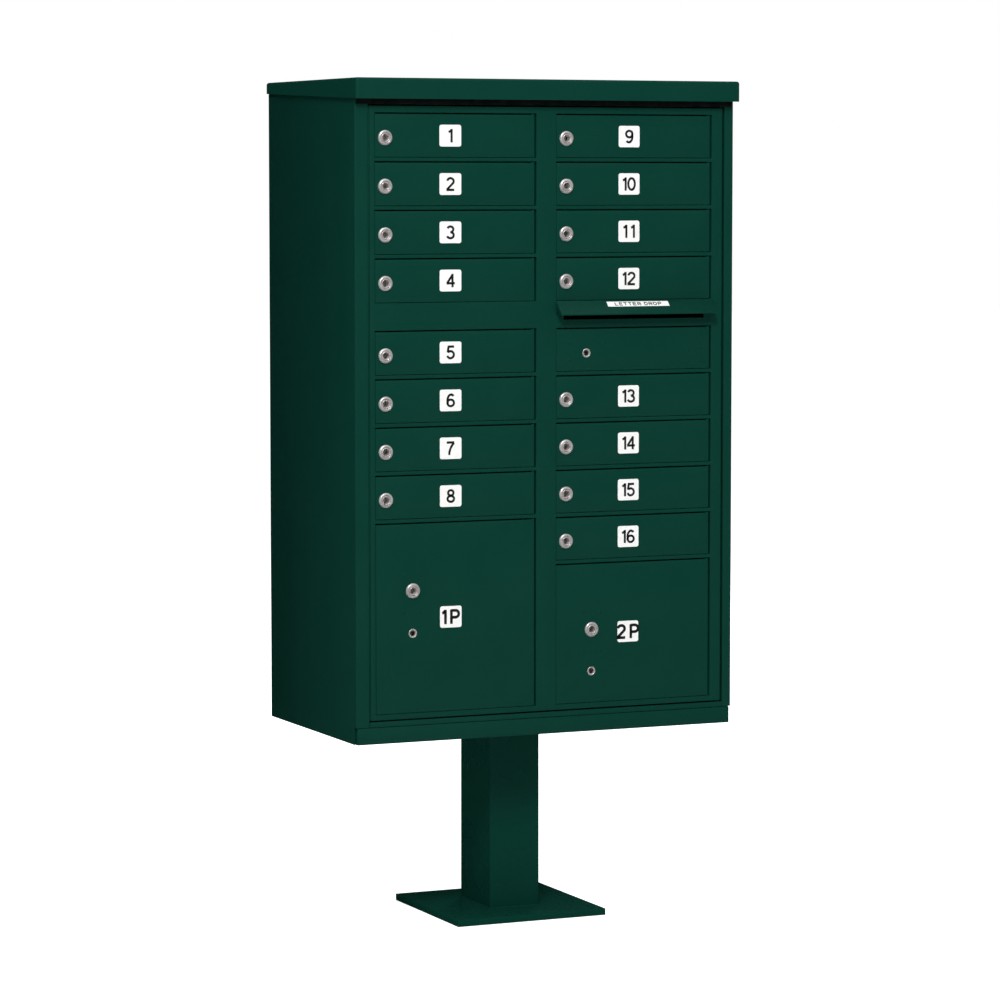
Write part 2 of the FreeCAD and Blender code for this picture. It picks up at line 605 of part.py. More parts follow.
def make_shelves():
    """Shelves that are level with the door openings, each with a turned-down front lip."""
    wall_x = HALF_W - SHEET
    left_span = (-wall_x, DIVIDER_X - SHELF_T / 2)
    right_span = (DIVIDER_X + SHELF_T / 2, wall_x)
    left_tops = [row_opening(row)[0] for row in range(8)] + [band_opening()[0]]
    right_tops = [row_opening(row)[0] for row in range(9)]
    shelves = []
    for span, tops in ((left_span, left_tops), (right_span, right_tops)):
        for top in tops:
            outline = [
                (SHELF_FRONT_Y, top), (SHELF_FRONT_Y, top - SHELF_LIP), (SHELF_FRONT_Y + SHELF_T, top - SHELF_LIP),
                (SHELF_FRONT_Y + SHELF_T, top - SHELF_T), (SHELF_BACK_Y, top - SHELF_T), (SHELF_BACK_Y, top),
            ]
            shelves.append(prism_x(outline, *span))
    save("mail_shelves", *shelves)


os.makedirs("parts", exist_ok=True)
make_pedestal()
make_bottom_pan()
make_shell()
make_hood()
make_shelves()
make_master_frame()
make_band_panels()
make_slot_hood()
make_master_latch()
for column_x, doors in COLUMNS:
    for node, opening in doors:
        make_door(node, column_x, opening)
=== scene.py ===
import json
import math

import bmesh
import bpy
from mathutils import Matrix, Vector

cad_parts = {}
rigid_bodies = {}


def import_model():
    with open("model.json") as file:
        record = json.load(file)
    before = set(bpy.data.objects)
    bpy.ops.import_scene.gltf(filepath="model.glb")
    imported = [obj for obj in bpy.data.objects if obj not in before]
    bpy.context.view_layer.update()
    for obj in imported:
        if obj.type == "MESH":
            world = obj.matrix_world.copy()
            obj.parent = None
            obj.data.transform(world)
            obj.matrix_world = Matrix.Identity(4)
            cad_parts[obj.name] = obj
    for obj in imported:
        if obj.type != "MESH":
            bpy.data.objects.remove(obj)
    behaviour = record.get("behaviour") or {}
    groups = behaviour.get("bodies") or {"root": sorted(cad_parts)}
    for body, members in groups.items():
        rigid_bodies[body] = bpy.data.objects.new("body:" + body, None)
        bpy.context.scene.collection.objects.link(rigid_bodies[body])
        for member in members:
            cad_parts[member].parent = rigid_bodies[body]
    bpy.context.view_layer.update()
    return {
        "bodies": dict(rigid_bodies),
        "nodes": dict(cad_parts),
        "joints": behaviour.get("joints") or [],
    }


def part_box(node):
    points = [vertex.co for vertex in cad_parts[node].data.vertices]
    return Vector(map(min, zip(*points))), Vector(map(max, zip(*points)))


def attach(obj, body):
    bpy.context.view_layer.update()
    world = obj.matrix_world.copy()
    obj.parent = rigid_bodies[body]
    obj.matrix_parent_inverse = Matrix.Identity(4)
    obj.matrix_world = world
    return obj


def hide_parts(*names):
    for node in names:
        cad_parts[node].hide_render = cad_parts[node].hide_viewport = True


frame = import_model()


# ---- Base plate ----
# A square of 12.7 mm steel plate with saw-cut edges, powder coated dark green.
# It lies on the concrete, and its four anchor holes are hidden inside the post.

PAINT_GREEN = (0.0022, 0.0400, 0.0272, 1.0)
PAINT_DEEP = (0.0018, 0.0375, 0.0255, 1.0)
PAINT_RUBBED = (0.007, 0.060, 0.043, 1.0)
PAINT_DUST = (0.10, 0.12, 0.10, 1.0)
PLATE_EDGE_EASING = 0.0006


def shader_group(name, inputs, outputs):
    """A named effect that several finishes share: its tree with its two ends."""
    tree = bpy.data.node_groups.new(name, "ShaderNodeTree")
    for label, value in inputs:
        socket = tree.interface.new_socket(name=label, in_out="INPUT", socket_type="NodeSocketFloat")
        socket.default_value = value
    for label in outputs:
        tree.interface.new_socket(name=label, in_out="OUTPUT", socket_type="NodeSocketFloat")
    return tree, tree.nodes.new("NodeGroupInput"), tree.nodes.new("NodeGroupOutput")


def feed(tree, source, socket):
    """Sets an input to a plain value, or links an output to it."""
    if isinstance(source, (int, float, tuple)):
        socket.default_value = source
    else:
        tree.links.new(source, socket)


def arithmetic(tree, operation, first, second):
    """One Math node. Each side is a socket or a number."""
    node = tree.nodes.new("ShaderNodeMath")
    node.operation = operation
    feed(tree, first, node.inputs[0])
    feed(tree, second, node.inputs[1])
    return node.outputs[0]


def own_place(tree):
    """The surface's place in metres on the unit."""
    return tree.nodes.new("ShaderNodeTexCoord").outputs["Object"]


def noise(tree, vector, per_metre, detail):
    """A noise field. Its fineness is a socket or a number."""
    node = tree.nodes.new("ShaderNodeTexNoise")
    node.inputs["Detail"].default_value = detail
    tree.links.new(vector, node.inputs["Vector"])
    feed(tree, per_metre, node.inputs["Scale"])
    return node.outputs["Fac"]


def ramp(tree, value, low, high):
    """Stretches the part of a value between low and high to 0..1."""
    node = tree.nodes.new("ShaderNodeMapRange")
    node.interpolation_type = "SMOOTHSTEP"
    node.inputs["From Min"].default_value = low
    node.inputs["From Max"].default_value = high
    tree.links.new(value, node.inputs["Value"])
    return node.outputs["Result"]


# Fine, pebbled skin of a baked powder coat: a height field, and a broad mottle.
peel, peel_in, peel_out = shader_group(
    "powder_peel", [("Grains per metre", 900.0), ("Mottles per metre", 9.0)], ["Height", "Mottle"])
fine = noise(peel, own_place(peel), peel_in.outputs["Grains per metre"], 3.0)
broad = noise(peel, own_place(peel), peel_in.outputs["Mottles per metre"], 2.0)
peel.links.new(fine, peel_out.inputs["Height"])
peel.links.new(ramp(peel, broad, 0.2, 0.8), peel_out.inputs["Mottle"])

# Where hands and brushes rub: the outer edges, broken up by noise.
rubbed, rubbed_in, rubbed_out = shader_group(
    "rubbed_edges", [("Reach", 0.0008), ("Patches per metre", 60.0)], ["Mask"])
rounded = rubbed.nodes.new("ShaderNodeBevel")
rounded.samples = 4
rubbed.links.new(rubbed_in.outputs["Reach"], rounded.inputs["Radius"])
true_side = rubbed.nodes.new("ShaderNodeNewGeometry")
turn = rubbed.nodes.new("ShaderNodeVectorMath")
turn.operation = "DOT_PRODUCT"
rubbed.links.new(rounded.outputs["Normal"], turn.inputs[0])
rubbed.links.new(true_side.outputs["Normal"], turn.inputs[1])
patches = noise(rubbed, own_place(rubbed), rubbed_in.outputs["Patches per metre"], 5.0)
bent = arithmetic(rubbed, "SUBTRACT", 1.0, turn.outputs["Value"])
worn_edge = arithmetic(rubbed, "MULTIPLY", ramp(rubbed, bent, 0.01, 0.25),
                       ramp(rubbed, patches, 0.35, 0.6))
rubbed.links.new(worn_edge, rubbed_out.inputs["Mask"])

# Dust that settles on faces that look up.
dust, dust_in, dust_out = shader_group("settled_dust", [("Specks per metre", 140.0)], ["Mask"])
facing = dust.nodes.new("ShaderNodeNewGeometry")
split = dust.nodes.new("ShaderNodeSeparateXYZ")
dust.links.new(facing.outputs["Normal"], split.inputs["Vector"])
specks = noise(dust, own_place(dust), dust_in.outputs["Specks per metre"], 6.0)
settled = arithmetic(dust, "MULTIPLY", ramp(dust, split.outputs["Z"], 0.5, 0.95),
                     ramp(dust, specks, 0.4, 0.75))
dust.links.new(settled, dust_out.inputs["Mask"])


def new_finish(name):
    """An empty material with its Principled shader."""
    finish = bpy.data.materials.new(name)
    finish.use_nodes = True
    shader = finish.node_tree.nodes["Principled BSDF"]
    return finish, finish.node_tree, shader


def effect(tree, group, **settings):
    """A shared effect placed in a finish with its own values."""
    node = tree.nodes.new("ShaderNodeGroup")
    node.node_tree = group
    for label, value in settings.items():
        node.inputs[label.replace("_", " ")].default_value = value
    return node


def blended(tree, share, low, high):
    """A colour between two, each a socket or four numbers, by a share."""
    node = tree.nodes.new("ShaderNodeMix")
    node.data_type = "RGBA"
    tree.links.new(share, node.inputs["Factor"])
    colour_inputs = [s for s in node.inputs if s.type == "RGBA"]
    feed(tree, low, colour_inputs[0])
    feed(tree, high, colour_inputs[1])
    return [s for s in node.outputs if s.type == "RGBA"][0]


def bumped(tree, shader, height, depth):
    """Turns a height field into the shader's normal. Depth is in metres."""
    bump = tree.nodes.new("ShaderNodeBump")
    bump.inputs["Strength"].default_value = 1.0
    bump.inputs["Distance"].default_value = depth
    tree.links.new(height, bump.inputs["Height"])
    tree.links.new(bump.outputs["Normal"], shader.inputs["Normal"])


def powder_coat(name, gloss, dusty):
    """Deep green powder coat over steel sheet."""
    finish, tree, shader = new_finish(name)
    skin = effect(tree, peel, Grains_per_metre=900.0, Mottles_per_metre=9.0)
    edges = effect(tree, rubbed, Reach=0.0008, Patches_per_metre=60.0)
    dirt = effect(tree, dust, Specks_per_metre=140.0)
    paint = blended(tree, skin.outputs["Mottle"], PAINT_DEEP, PAINT_GREEN)
    worn = arithmetic(tree, "MULTIPLY", edges.outputs["Mask"], 0.3)
    paint = blended(tree, worn, paint, PAINT_RUBBED)
    dirty = arithmetic(tree, "MULTIPLY", dirt.outputs["Mask"], dusty)
    paint = blended(tree, dirty, paint, PAINT_DUST)
    tree.links.new(paint, shader.inputs["Base Color"])
    dull = arithmetic(tree, "MULTIPLY", skin.outputs["Mottle"], 0.04)
    dull = arithmetic(tree, "ADD", dull, gloss)
    dull = arithmetic(tree, "ADD", dull, arithmetic(tree, "MULTIPLY", dirt.outputs["Mask"], 0.25))
    tree.links.new(dull, shader.inputs["Roughness"])
    shader.inputs["Specular IOR Level"].default_value = 0.08
    bumped(tree, shader, skin.outputs["Height"], 0.00006)
    return finish


green_coat = powder_coat("green_powder_coat", 0.36, 0.05)
plate_coat = powder_coat("green_plate_coat", 0.26, 0.05)


def smoothed(solid, widest_turn=math.radians(32)):
    """Round surfaces shade smoothly, flat ones stay flat and sharp corners stay sharp."""
    for side in solid.faces:
        side.smooth = False
    for line in solid.edges:
        if len(line.link_faces) != 2:
            continue
        turned_by = line.calc_face_angle(0.0)
        line.smooth = turned_by < widest_turn
        if math.radians(1.0) < turned_by < widest_turn:
            for side in line.link_faces:
                side.smooth = True


def sharp_edges(solid, degrees):
    """Edges where two faces meet at more than an angle."""
    return [line for line in solid.edges if len(line.link_faces) == 2
            and line.calc_face_angle(0.0) > math.radians(degrees)]


def ease(solid, edges, size, segments=2, shrink_to_fit=False):
    """Breaks sharp edges by a small size."""
    bmesh.ops.bevel(solid, geom=edges, offset=size, offset_type="OFFSET", segments=segments,
                    profile=0.5, affect="EDGES", clamp_overlap=shrink_to_fit)


def outward(solid):
    """Turns every face of a closed solid outwards."""
    bmesh.ops.recalc_face_normals(solid, faces=solid.faces)


def placed(name, solid, finish):
    """A bmesh becomes an object at the origin with its place in its mesh."""
    mesh = bpy.data.meshes.new(name)
    solid.to_mesh(mesh)
    solid.free()
    piece = bpy.data.objects.new(name, mesh)
    bpy.context.scene.collection.objects.link(piece)
    mesh.materials.append(finish)
    return piece


def eased_copy(name, node, finish, easing, shortest_eased=0.004):
    """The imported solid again, with its long sharp edges broken by the tumbling and the paint."""
    solid = bmesh.new()
    solid.from_mesh(frame["nodes"][node].data)
    bmesh.ops.remove_doubles(solid, verts=solid.verts, dist=1e-6)
    bmesh.ops.dissolve_limit(solid, angle_limit=math.radians(0.5), verts=solid.verts, edges=solid.edges)
    long_edges = [line for line in sharp_edges(solid, 50) if line.calc_length() >= shortest_eased]
    ease(solid, long_edges, easing)
    smoothed(solid)
    return placed(name, solid, finish)


base_piece = eased_copy("base_plate_steel", "base_plate", plate_coat, PLATE_EDGE_EASING)
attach(base_piece, "root")
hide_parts("base_plate")


# ---- Post and its weld ----
# Rectangular steel tube that stands in the middle of the plate, with a head plate on top.
# A small fillet weld runs all round its foot and is painted over with the rest.

POST_EASING = 0.0005
post_piece = eased_copy("pedestal_post_steel", "pedestal_post", plate_coat, POST_EASING)
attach(post_piece, "root")
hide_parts("pedestal_post")

BEAD_SIZE = 0.0022
BEAD_RIPPLE = 0.0035
plate_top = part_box("base_plate")[1].z


def rounded_loop(half_x, half_y, corner, steps):
    """Points round a rectangle with round corners, in plan."""
    loop = []
    for quarter, (sx, sy) in enumerate([(1, 1), (-1, 1), (-1, -1), (1, -1)]):
        centre_x = sx * (half_x - corner)
        centre_y = sy * (half_y - corner)
        for step in range(steps + 1):
            angle = math.pi / 2 * (quarter + step / steps)
            loop.append((centre_x + corner * math.cos(angle), centre_y + corner * math.sin(angle)))
    return loop


def geometry_tree(name, inputs):
    """A geometry tree with a mesh in, a mesh out and the named inputs."""
    tree = bpy.data.node_groups.new(name, "GeometryNodeTree")
    tree.interface.new_socket(name="Geometry", in_out="INPUT", socket_type="NodeSocketGeometry")
    tree.interface.new_socket(name="Geometry", in_out="OUTPUT", socket_type="NodeSocketGeometry")
    for label, kind in inputs:
        tree.interface.new_socket(name=label, in_out="INPUT", socket_type=kind)
    return tree, tree.nodes.new("NodeGroupInput"), tree.nodes.new("NodeGroupOutput")


def chained(tree, *steps):
    """Passes the geometry from each step to the next."""
    for before, after in zip(steps, steps[1:]):
        tree.links.new(before.outputs[0], after.inputs[0])


def grown(name, solid, tree, finish, values):
    """Runs a geometry tree on a bmesh and keeps its result as a plain mesh."""
    piece = placed(name, solid, finish)
    modifier = piece.modifiers.new(tree.name, "NODES")
    modifier.node_group = tree
    names = {item.name: item.identifier for item in tree.interface.items_tree if item.in_out == "INPUT"}
    for label, value in values.items():
        modifier[names[label]] = value
    seen = piece.evaluated_get(bpy.context.evaluated_depsgraph_get())
    mesh = bpy.data.meshes.new_from_object(seen)
    mesh.name = name
    piece.modifiers.remove(modifier)
    piece.data = mesh
    return piece


bead_tree, bead_in, bead_out = geometry_tree("bead_along_foot", [
    ("Bead size", "NodeSocketFloat"), ("Ripple pitch", "NodeSocketFloat"),
    ("Ripple depth", "NodeSocketFloat"), ("Finish", "NodeSocketMaterial")])
even = bead_tree.nodes.new("GeometryNodeResampleCurve")
even.mode = "LENGTH"
quarter_pitch = arithmetic(bead_tree, "DIVIDE", bead_in.outputs["Ripple pitch"], 4.0)
bead_tree.links.new(quarter_pitch, even.inputs["Length"])
along = bead_tree.nodes.new("GeometryNodeSplineParameter")
waves = arithmetic(bead_tree, "DIVIDE", along.outputs["Length"], bead_in.outputs["Ripple pitch"])
waves = arithmetic(bead_tree, "SINE", arithmetic(bead_tree, "MULTIPLY", waves, 2 * math.pi), 0.0)
waves = arithmetic(bead_tree, "MULTIPLY", waves, bead_in.outputs["Ripple depth"])
thick = arithmetic(bead_tree, "ADD", waves, 1.0)
thick = arithmetic(bead_tree, "MULTIPLY", thick, bead_in.outputs["Bead size"])
ring = bead_tree.nodes.new("GeometryNodeCurvePrimitiveCircle")
ring.inputs["Resolution"].default_value = 10
ring.inputs["Radius"].default_value = 1.0
swept = bead_tree.nodes.new("GeometryNodeCurveToMesh")
bead_tree.links.new(ring.outputs[0], swept.inputs["Profile Curve"])
bead_tree.links.new(thick, swept.inputs["Scale"])
coated = bead_tree.nodes.new("GeometryNodeSetMaterial")
bead_tree.links.new(bead_in.outputs["Finish"], coated.inputs["Material"])
chained(bead_tree, bead_in, bead_tree.nodes.new("GeometryNodeMeshToCurve"), even, swept,
        bead_tree.nodes.new("GeometryNodeSetShadeSmooth"),
        bead_tree.nodes.new("GeometryNodeRealizeInstances"), coated, bead_out)

POST_HALF_X = 0.0508
POST_HALF_Y = 0.06985
POST_CORNER = 0.002
foot = bmesh.new()
outline = rounded_loop(POST_HALF_X, POST_HALF_Y, POST_CORNER, 4)
corners = [foot.verts.new((x, y, plate_top)) for x, y in outline]
for here, after in zip(corners, corners[1:] + corners[:1]):
    foot.edges.new((here, after))
weld_bead = grown("post_weld_bead", foot, bead_tree, plate_coat, {
    "Bead size": BEAD_SIZE, "Ripple pitch": BEAD_RIPPLE, "Ripple depth": 0.12, "Finish": plate_coat})
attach(weld_bead, "root")


# ---- Floor pan and its bolts ----
# The cabinet's floor is one folded sheet with a skirt on all four sides.
# Four zinc-plated bolts hold it down on the post's head plate.

SHEET_EASING = 0.0004
pan_piece = eased_copy("floor_pan_sheet", "bottom_pan", green_coat, SHEET_EASING)
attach(pan_piece, "root")
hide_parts("bottom_pan")


# Fine scratches that run one way, as rolling, grinding or wiping leaves them.
scratch, scratch_in, scratch_out = shader_group(
    "fine_scratches", [("Across X", 40.0), ("Across Y", 2500.0), ("Across Z", 2500.0)],
    ["Height", "Streak"])
stretched = scratch.nodes.new("ShaderNodeMapping")
counts = scratch.nodes.new("ShaderNodeCombineXYZ")
for axis in "XYZ":
    scratch.links.new(scratch_in.outputs["Across " + axis], counts.inputs[axis])
scratch.links.new(own_place(scratch), stretched.inputs["Vector"])
scratch.links.new(counts.outputs["Vector"], stretched.inputs["Scale"])
lines = noise(scratch, stretched.outputs["Vector"], 1.0, 3.0)
scratch.links.new(lines, scratch_out.inputs["Height"])
scratch.links.new(ramp(scratch, lines, 0.38, 0.62), scratch_out.inputs["Streak"])


def bare_metal(name, dark, bright, dull, scratches, depth, sheen=1.0):
    """A metal with fine scratches, a cloudy tarnish and duller patches."""
    finish, tree, shader = new_finish(name)
    marks = effect(tree, scratch, Across_X=scratches[0], Across_Y=scratches[1], Across_Z=scratches[2])
    cloud = effect(tree, peel, Grains_per_metre=300.0, Mottles_per_metre=70.0)
    metal = blended(tree, cloud.outputs["Mottle"], dark, bright)
    streak = arithmetic(tree, "MULTIPLY", marks.outputs["Streak"], 0.25)
    tree.links.new(blended(tree, streak, metal, bright), shader.inputs["Base Color"])
    shader.inputs["Metallic"].default_value = sheen
    patch = arithmetic(tree, "MULTIPLY", cloud.outputs["Mottle"], 0.08)
    patch = arithmetic(tree, "ADD", patch, arithmetic(tree, "MULTIPLY", marks.outputs["Streak"], 0.06))
    tree.links.new(arithmetic(tree, "ADD", patch, dull), shader.inputs["Roughness"])
    bumped(tree, shader, marks.outputs["Height"], depth)
    return finish


zinc = bare_metal("zinc_plate", (0.46, 0.47, 0.46, 1), (0.62, 0.64, 0.66, 1), 0.34,
                  (180, 180, 180), 0.00002)


def refinished(node, finish):
    """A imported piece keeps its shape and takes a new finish."""
    frame["nodes"][node].data.materials.clear()
    frame["nodes"][node].data.materials.append(finish)


refinished("head_bolts", zinc)


# ---- Side and back walls ----
# Three folded sheets. The back sheet laps the side sheets' rear flanges and is
# held to them by a row of domed rivets down each side, painted with the cabinet.

WALLS = {"side_wall_left": "side_panel_left", "side_wall_right": "side_panel_right",
         "back_wall": "back_panel"}
for wall_name, wall_node in WALLS.items():
    wall_piece = eased_copy(wall_name, wall_node, green_coat, SHEET_EASING)
    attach(wall_piece, "root")
    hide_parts(wall_node)

dome_tree, dome_in, dome_out = geometry_tree("low_domes_on_points", [
    ("Radius", "NodeSocketFloat"), ("Height", "NodeSocketFloat"), ("Finish", "NodeSocketMaterial")])
head = dome_tree.nodes.new("GeometryNodeMeshUVSphere")
head.inputs["Segments"].default_value = 14
head.inputs["Rings"].default_value = 8
head.inputs["Radius"].default_value = 1.0
shape = dome_tree.nodes.new("ShaderNodeCombineXYZ")
flat = dome_tree.nodes.new("GeometryNodeTransform")
spread = dome_tree.nodes.new("GeometryNodeInstanceOnPoints")
painted = dome_tree.nodes.new("GeometryNodeSetMaterial")
dome_tree.links.new(dome_in.outputs["Radius"], shape.inputs["X"])
dome_tree.links.new(dome_in.outputs["Height"], shape.inputs["Y"])
dome_tree.links.new(dome_in.outputs["Radius"], shape.inputs["Z"])
dome_tree.links.new(shape.outputs[0], flat.inputs["Scale"])
dome_tree.links.new(flat.outputs[0], spread.inputs["Instance"])
dome_tree.links.new(dome_in.outputs["Finish"], painted.inputs["Material"])
chained(dome_tree, head, flat)
chained(dome_tree, dome_in, dome_tree.nodes.new("GeometryNodeMeshToPoints"), spread,
        dome_tree.nodes.new("GeometryNodeRealizeInstances"),
        dome_tree.nodes.new("GeometryNodeSetShadeSmooth"), painted, dome_out)


def domes(name, points, radius, height, finish):
    """Low round heads, one on each point, that stand out along Y."""
    spots_mesh = bmesh.new()
    for point in points:
        spots_mesh.verts.new(point)
    values = {"Radius": radius, "Height": height, "Finish": finish}
    return grown(name, spots_mesh, dome_tree, finish, values)


RIVET_R = 0.0040
RIVET_H = 0.0016
RIVETS_DOWN = 9
RIVET_FROM_SIDE = 0.0105
FIRST_RIVET_UP = 0.06
LAST_RIVET_DOWN = 0.05
back_low, back_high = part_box("back_panel")
first_z = back_low.z + FIRST_RIVET_UP
last_z = back_high.z - LAST_RIVET_DOWN
rivet_points = []
for side_x in (back_low.x + RIVET_FROM_SIDE, back_high.x - RIVET_FROM_SIDE):
    for index in range(RIVETS_DOWN):
        share = index / (RIVETS_DOWN - 1)
        rivet_points.append((side_x, back_high.y, first_z + share * (last_z - first_z)))
back_rivets = domes("back_wall_rivets", rivet_points, RIVET_R, RIVET_H, green_coat)
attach(back_rivets, "root")


# ---- Header and sill, hinge rod, divider and shelves ----
# Folded channels close the front above and below the master door. The compartments
# behind it are bare aluminium sheets, and a ground steel rod carries the master door.

channels = eased_copy("header_and_sill", "front_frame", green_coat, SHEET_EASING)
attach(channels, "root")
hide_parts("front_frame")

aluminium = bare_metal("mill_aluminium", (0.50, 0.51, 0.52, 1), (0.68, 0.69, 0.70, 1), 0.38,
                       (900, 14, 900), 0.00003)
# Rod steel made near black: painted shade, so the rods sit dark in the door gaps and show no glint.
rod_steel = bare_metal("oiled_rod", (0.045, 0.05, 0.048, 1), (0.10, 0.11, 0.105, 1), 0.45,
                       (60, 60, 2600), 0.00002, 0.7)
refinished("mail_shelves", aluminium)
refinished("centre_divider", aluminium)
refinished("master_hinge_rod", rod_steel)


# ---- Hood ----
# One sheet folded over the top, deep at the front and shallow at the rear,
# with round bends and a turned-in drip lip behind the fascia.

SHORTEST_EASED = 0.02
hood_piece = eased_copy("hood_cap", "hood", green_coat, SHEET_EASING, SHORTEST_EASED)
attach(hood_piece, "root")
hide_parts("hood")


# ---- Painted shade under the hood, and a stop in the left jamb ----
# A matte black strip lies over the header, right under the hood's fascia. It is painted shade for the shadow
# that the hood casts there. A painted stop strip lies in the left jamb, a hair away from the master door's
# free edge.

SHADE_BLACK = (0.0022, 0.0032, 0.0028, 1.0)
SHADE_BLACK_GREY = (0.006, 0.008, 0.007, 1.0)
SHADE_STRIP_T = 0.0012
FASCIA_BOTTOM_Z = 1.537
BEHIND_FASCIA = 0.004
STOP_BEHIND = 0.0012
STOP_CLEAR = 0.0004
DOOR_DEPTH = 0.012
SHADE_STRIP_INSET = 0.003
STOP_REACH = 0.0021
# Matte black with a faint grain: the finish of the painted shade strip under the hood.
shade_strip_finish, shade_strip_tree, shade_strip_shader = new_finish("black_foam")
shade_strip_grain = effect(shade_strip_tree, peel, Grains_per_metre=1800.0, Mottles_per_metre=60.0)
shade_strip_colour = blended(shade_strip_tree, shade_strip_grain.outputs["Mottle"], SHADE_BLACK, SHADE_BLACK_GREY)
shade_strip_tree.links.new(shade_strip_colour, shade_strip_shader.inputs["Base Color"])
shade_strip_shader.inputs["Roughness"].default_value = 0.85
shade_strip_shader.inputs["Specular IOR Level"].default_value = 0.1
bumped(shade_strip_tree, shade_strip_shader, shade_strip_grain.outputs["Height"], 0.0001)


def block(solid, low, high):
    """A closed block between two corners."""
    corner = [solid.verts.new((x, y, z)) for x in (low[0], high[0]) for y in (low[1], high[1])
              for z in (low[2], high[2])]
    for side in ((0, 1, 3, 2), (4, 6, 7, 5), (0, 4, 5, 1), (2, 3, 7, 6), (0, 2, 6, 4), (1, 5, 7, 3)):
        solid.faces.new([corner[index] for index in side])


def eased_block(name, low, high, easing, finish):
    """A block with its edges broken, as its own piece."""
    solid = bmesh.new()
    block(solid, low, high)
    outward(solid)
    ease(solid, solid.edges[:], easing, 2, True)
    smoothed(solid)
    return placed(name, solid, finish)


jamb_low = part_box("side_panel_left")[0]
jamb_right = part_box("side_panel_right")[1]
master_low, master_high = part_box("master_frame")
shade_strip = eased_block("header_foam_strip",
                         (jamb_low.x + SHADE_STRIP_INSET, master_low.y - SHADE_STRIP_T, master_high.z + SHADE_STRIP_INSET),
                         (jamb_right.x - SHADE_STRIP_INSET, master_low.y, FASCIA_BOTTOM_Z + BEHIND_FASCIA),
                         0.0004, shade_strip_finish)
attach(shade_strip, "root")
stop_strip = eased_block("left_jamb_stop",
                         (master_low.x - STOP_REACH, master_low.y + STOP_BEHIND, master_low.z),
                         (master_low.x - STOP_CLEAR, master_low.y + DOOR_DEPTH, master_high.z),
                         0.0003, green_coat)
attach(stop_strip, "root")


# ---- Master door: frame ----
# A welded frame of flat stiles and rails, as deep as the doors, that holds them all.
# Its openings have crisp folded edges, and its hinge side is rolled round the rod.

FRAME_EASING = 0.0005
ROLLED_EDGE = 0.0049
frame_low, frame_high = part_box("master_frame")
front_y = frame_low.y
door_nodes = sorted(n for n in frame["bodies"] if n.startswith(("door_", "outgoing_door", "parcel_door")))
LEAF_GAPS = {"left": 0.0006, "low": 0.0009, "high": 0.0025, "barrel": 0.0012}
joint_at = {joint["name"]: Vector(joint["pos_m"]) for joint in frame["joints"] if joint["type"] == "hinge"}
band_low, band_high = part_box("band_panels")
LEFT_OPENING_X = min(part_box(n)[0].x for n in door_nodes) - LEAF_GAPS["left"]
RIGHT_OPENING_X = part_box("outgoing_door")[0].x - LEAF_GAPS["left"]
OPENING_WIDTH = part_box("mail_slot_hood")[1].x - RIGHT_OPENING_X


def leaf_height(node):
    """Bottom and top of a door's leaf, below its barrel's rise."""
    low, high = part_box(node)
    return low.z, high.z - LEAF_GAPS["barrel"]


def opening_of(node):
    """The frame's opening that a door fills, as x and z limits."""
    x0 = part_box(node)[0].x - LEAF_GAPS["left"]
    low_z, high_z = leaf_height(node)
    return x0, x0 + OPENING_WIDTH, low_z - LEAF_GAPS["low"], high_z + LEAF_GAPS["high"]


band_openings = [(x0, x0 + OPENING_WIDTH, band_low.z, band_high.z)
                 for x0 in (LEFT_OPENING_X, RIGHT_OPENING_X)]
openings = [opening_of(node) for node in door_nodes] + band_openings


def steps_along(values):
    """Sorted values with near doubles left out."""
    kept = []
    for value in sorted(values):
        if not kept or value - kept[-1] > 1e-5:
            kept.append(value)
    return kept


columns_x = steps_along([frame_low.x, frame_high.x] + [x for o in openings for x in o[:2]])
rows_z = steps_along([frame_low.z, frame_high.z] + [z for o in openings for z in o[2:]])
panel = bmesh.new()
grid = {}


def corner_at(column, row, depth):
    """One shared corner of the frame's grid of cells."""
    key = (column, row, depth)
    if key not in grid:
        y = front_y + depth * DOOR_DEPTH
        grid[key] = panel.verts.new((columns_x[column], y, rows_z[row]))
    return grid[key]


def is_metal(column, row):
    """True where the frame has metal in that cell."""
    if not (0 <= column < len(columns_x) - 1 and 0 <= row < len(rows_z) - 1):
        return False
    x = (columns_x[column] + columns_x[column + 1]) / 2
    z = (rows_z[row] + rows_z[row + 1]) / 2
    return not any(x0 < x < x1 and z0 < z < z1 for x0, x1, z0, z1 in openings)


for column in range(len(columns_x) - 1):
    for row in range(len(rows_z) - 1):
        if not is_metal(column, row):
            continue
        around = [(column, row), (column + 1, row), (column + 1, row + 1), (column, row + 1)]
        panel.faces.new([corner_at(c, r, 0) for c, r in around])
        panel.faces.new([corner_at(c, r, 1) for c, r in reversed(around)])
        beside = [(column, row - 1), (column + 1, row), (column, row + 1), (column - 1, row)]
        for index, (next_column, next_row) in enumerate(beside):
            if not is_metal(next_column, next_row):
                a = around[index]
                b = around[(index + 1) % 4]
                panel.faces.new([corner_at(*b, 0), corner_at(*a, 0), corner_at(*a, 1), corner_at(*b, 1)])
outward(panel)


def middle_of(line):
    """The middle of an edge."""
    return (line.verts[0].co + line.verts[1].co) / 2


def in_a_band(point):
    """True on the rim of an opening that a fixed filler panel closes flush."""
    for x0, x1, z0, z1 in band_openings:
        if x0 - 1e-6 < point.x < x1 + 1e-6 and z0 - 1e-6 < point.z < z1 + 1e-6:
            return True
    return False


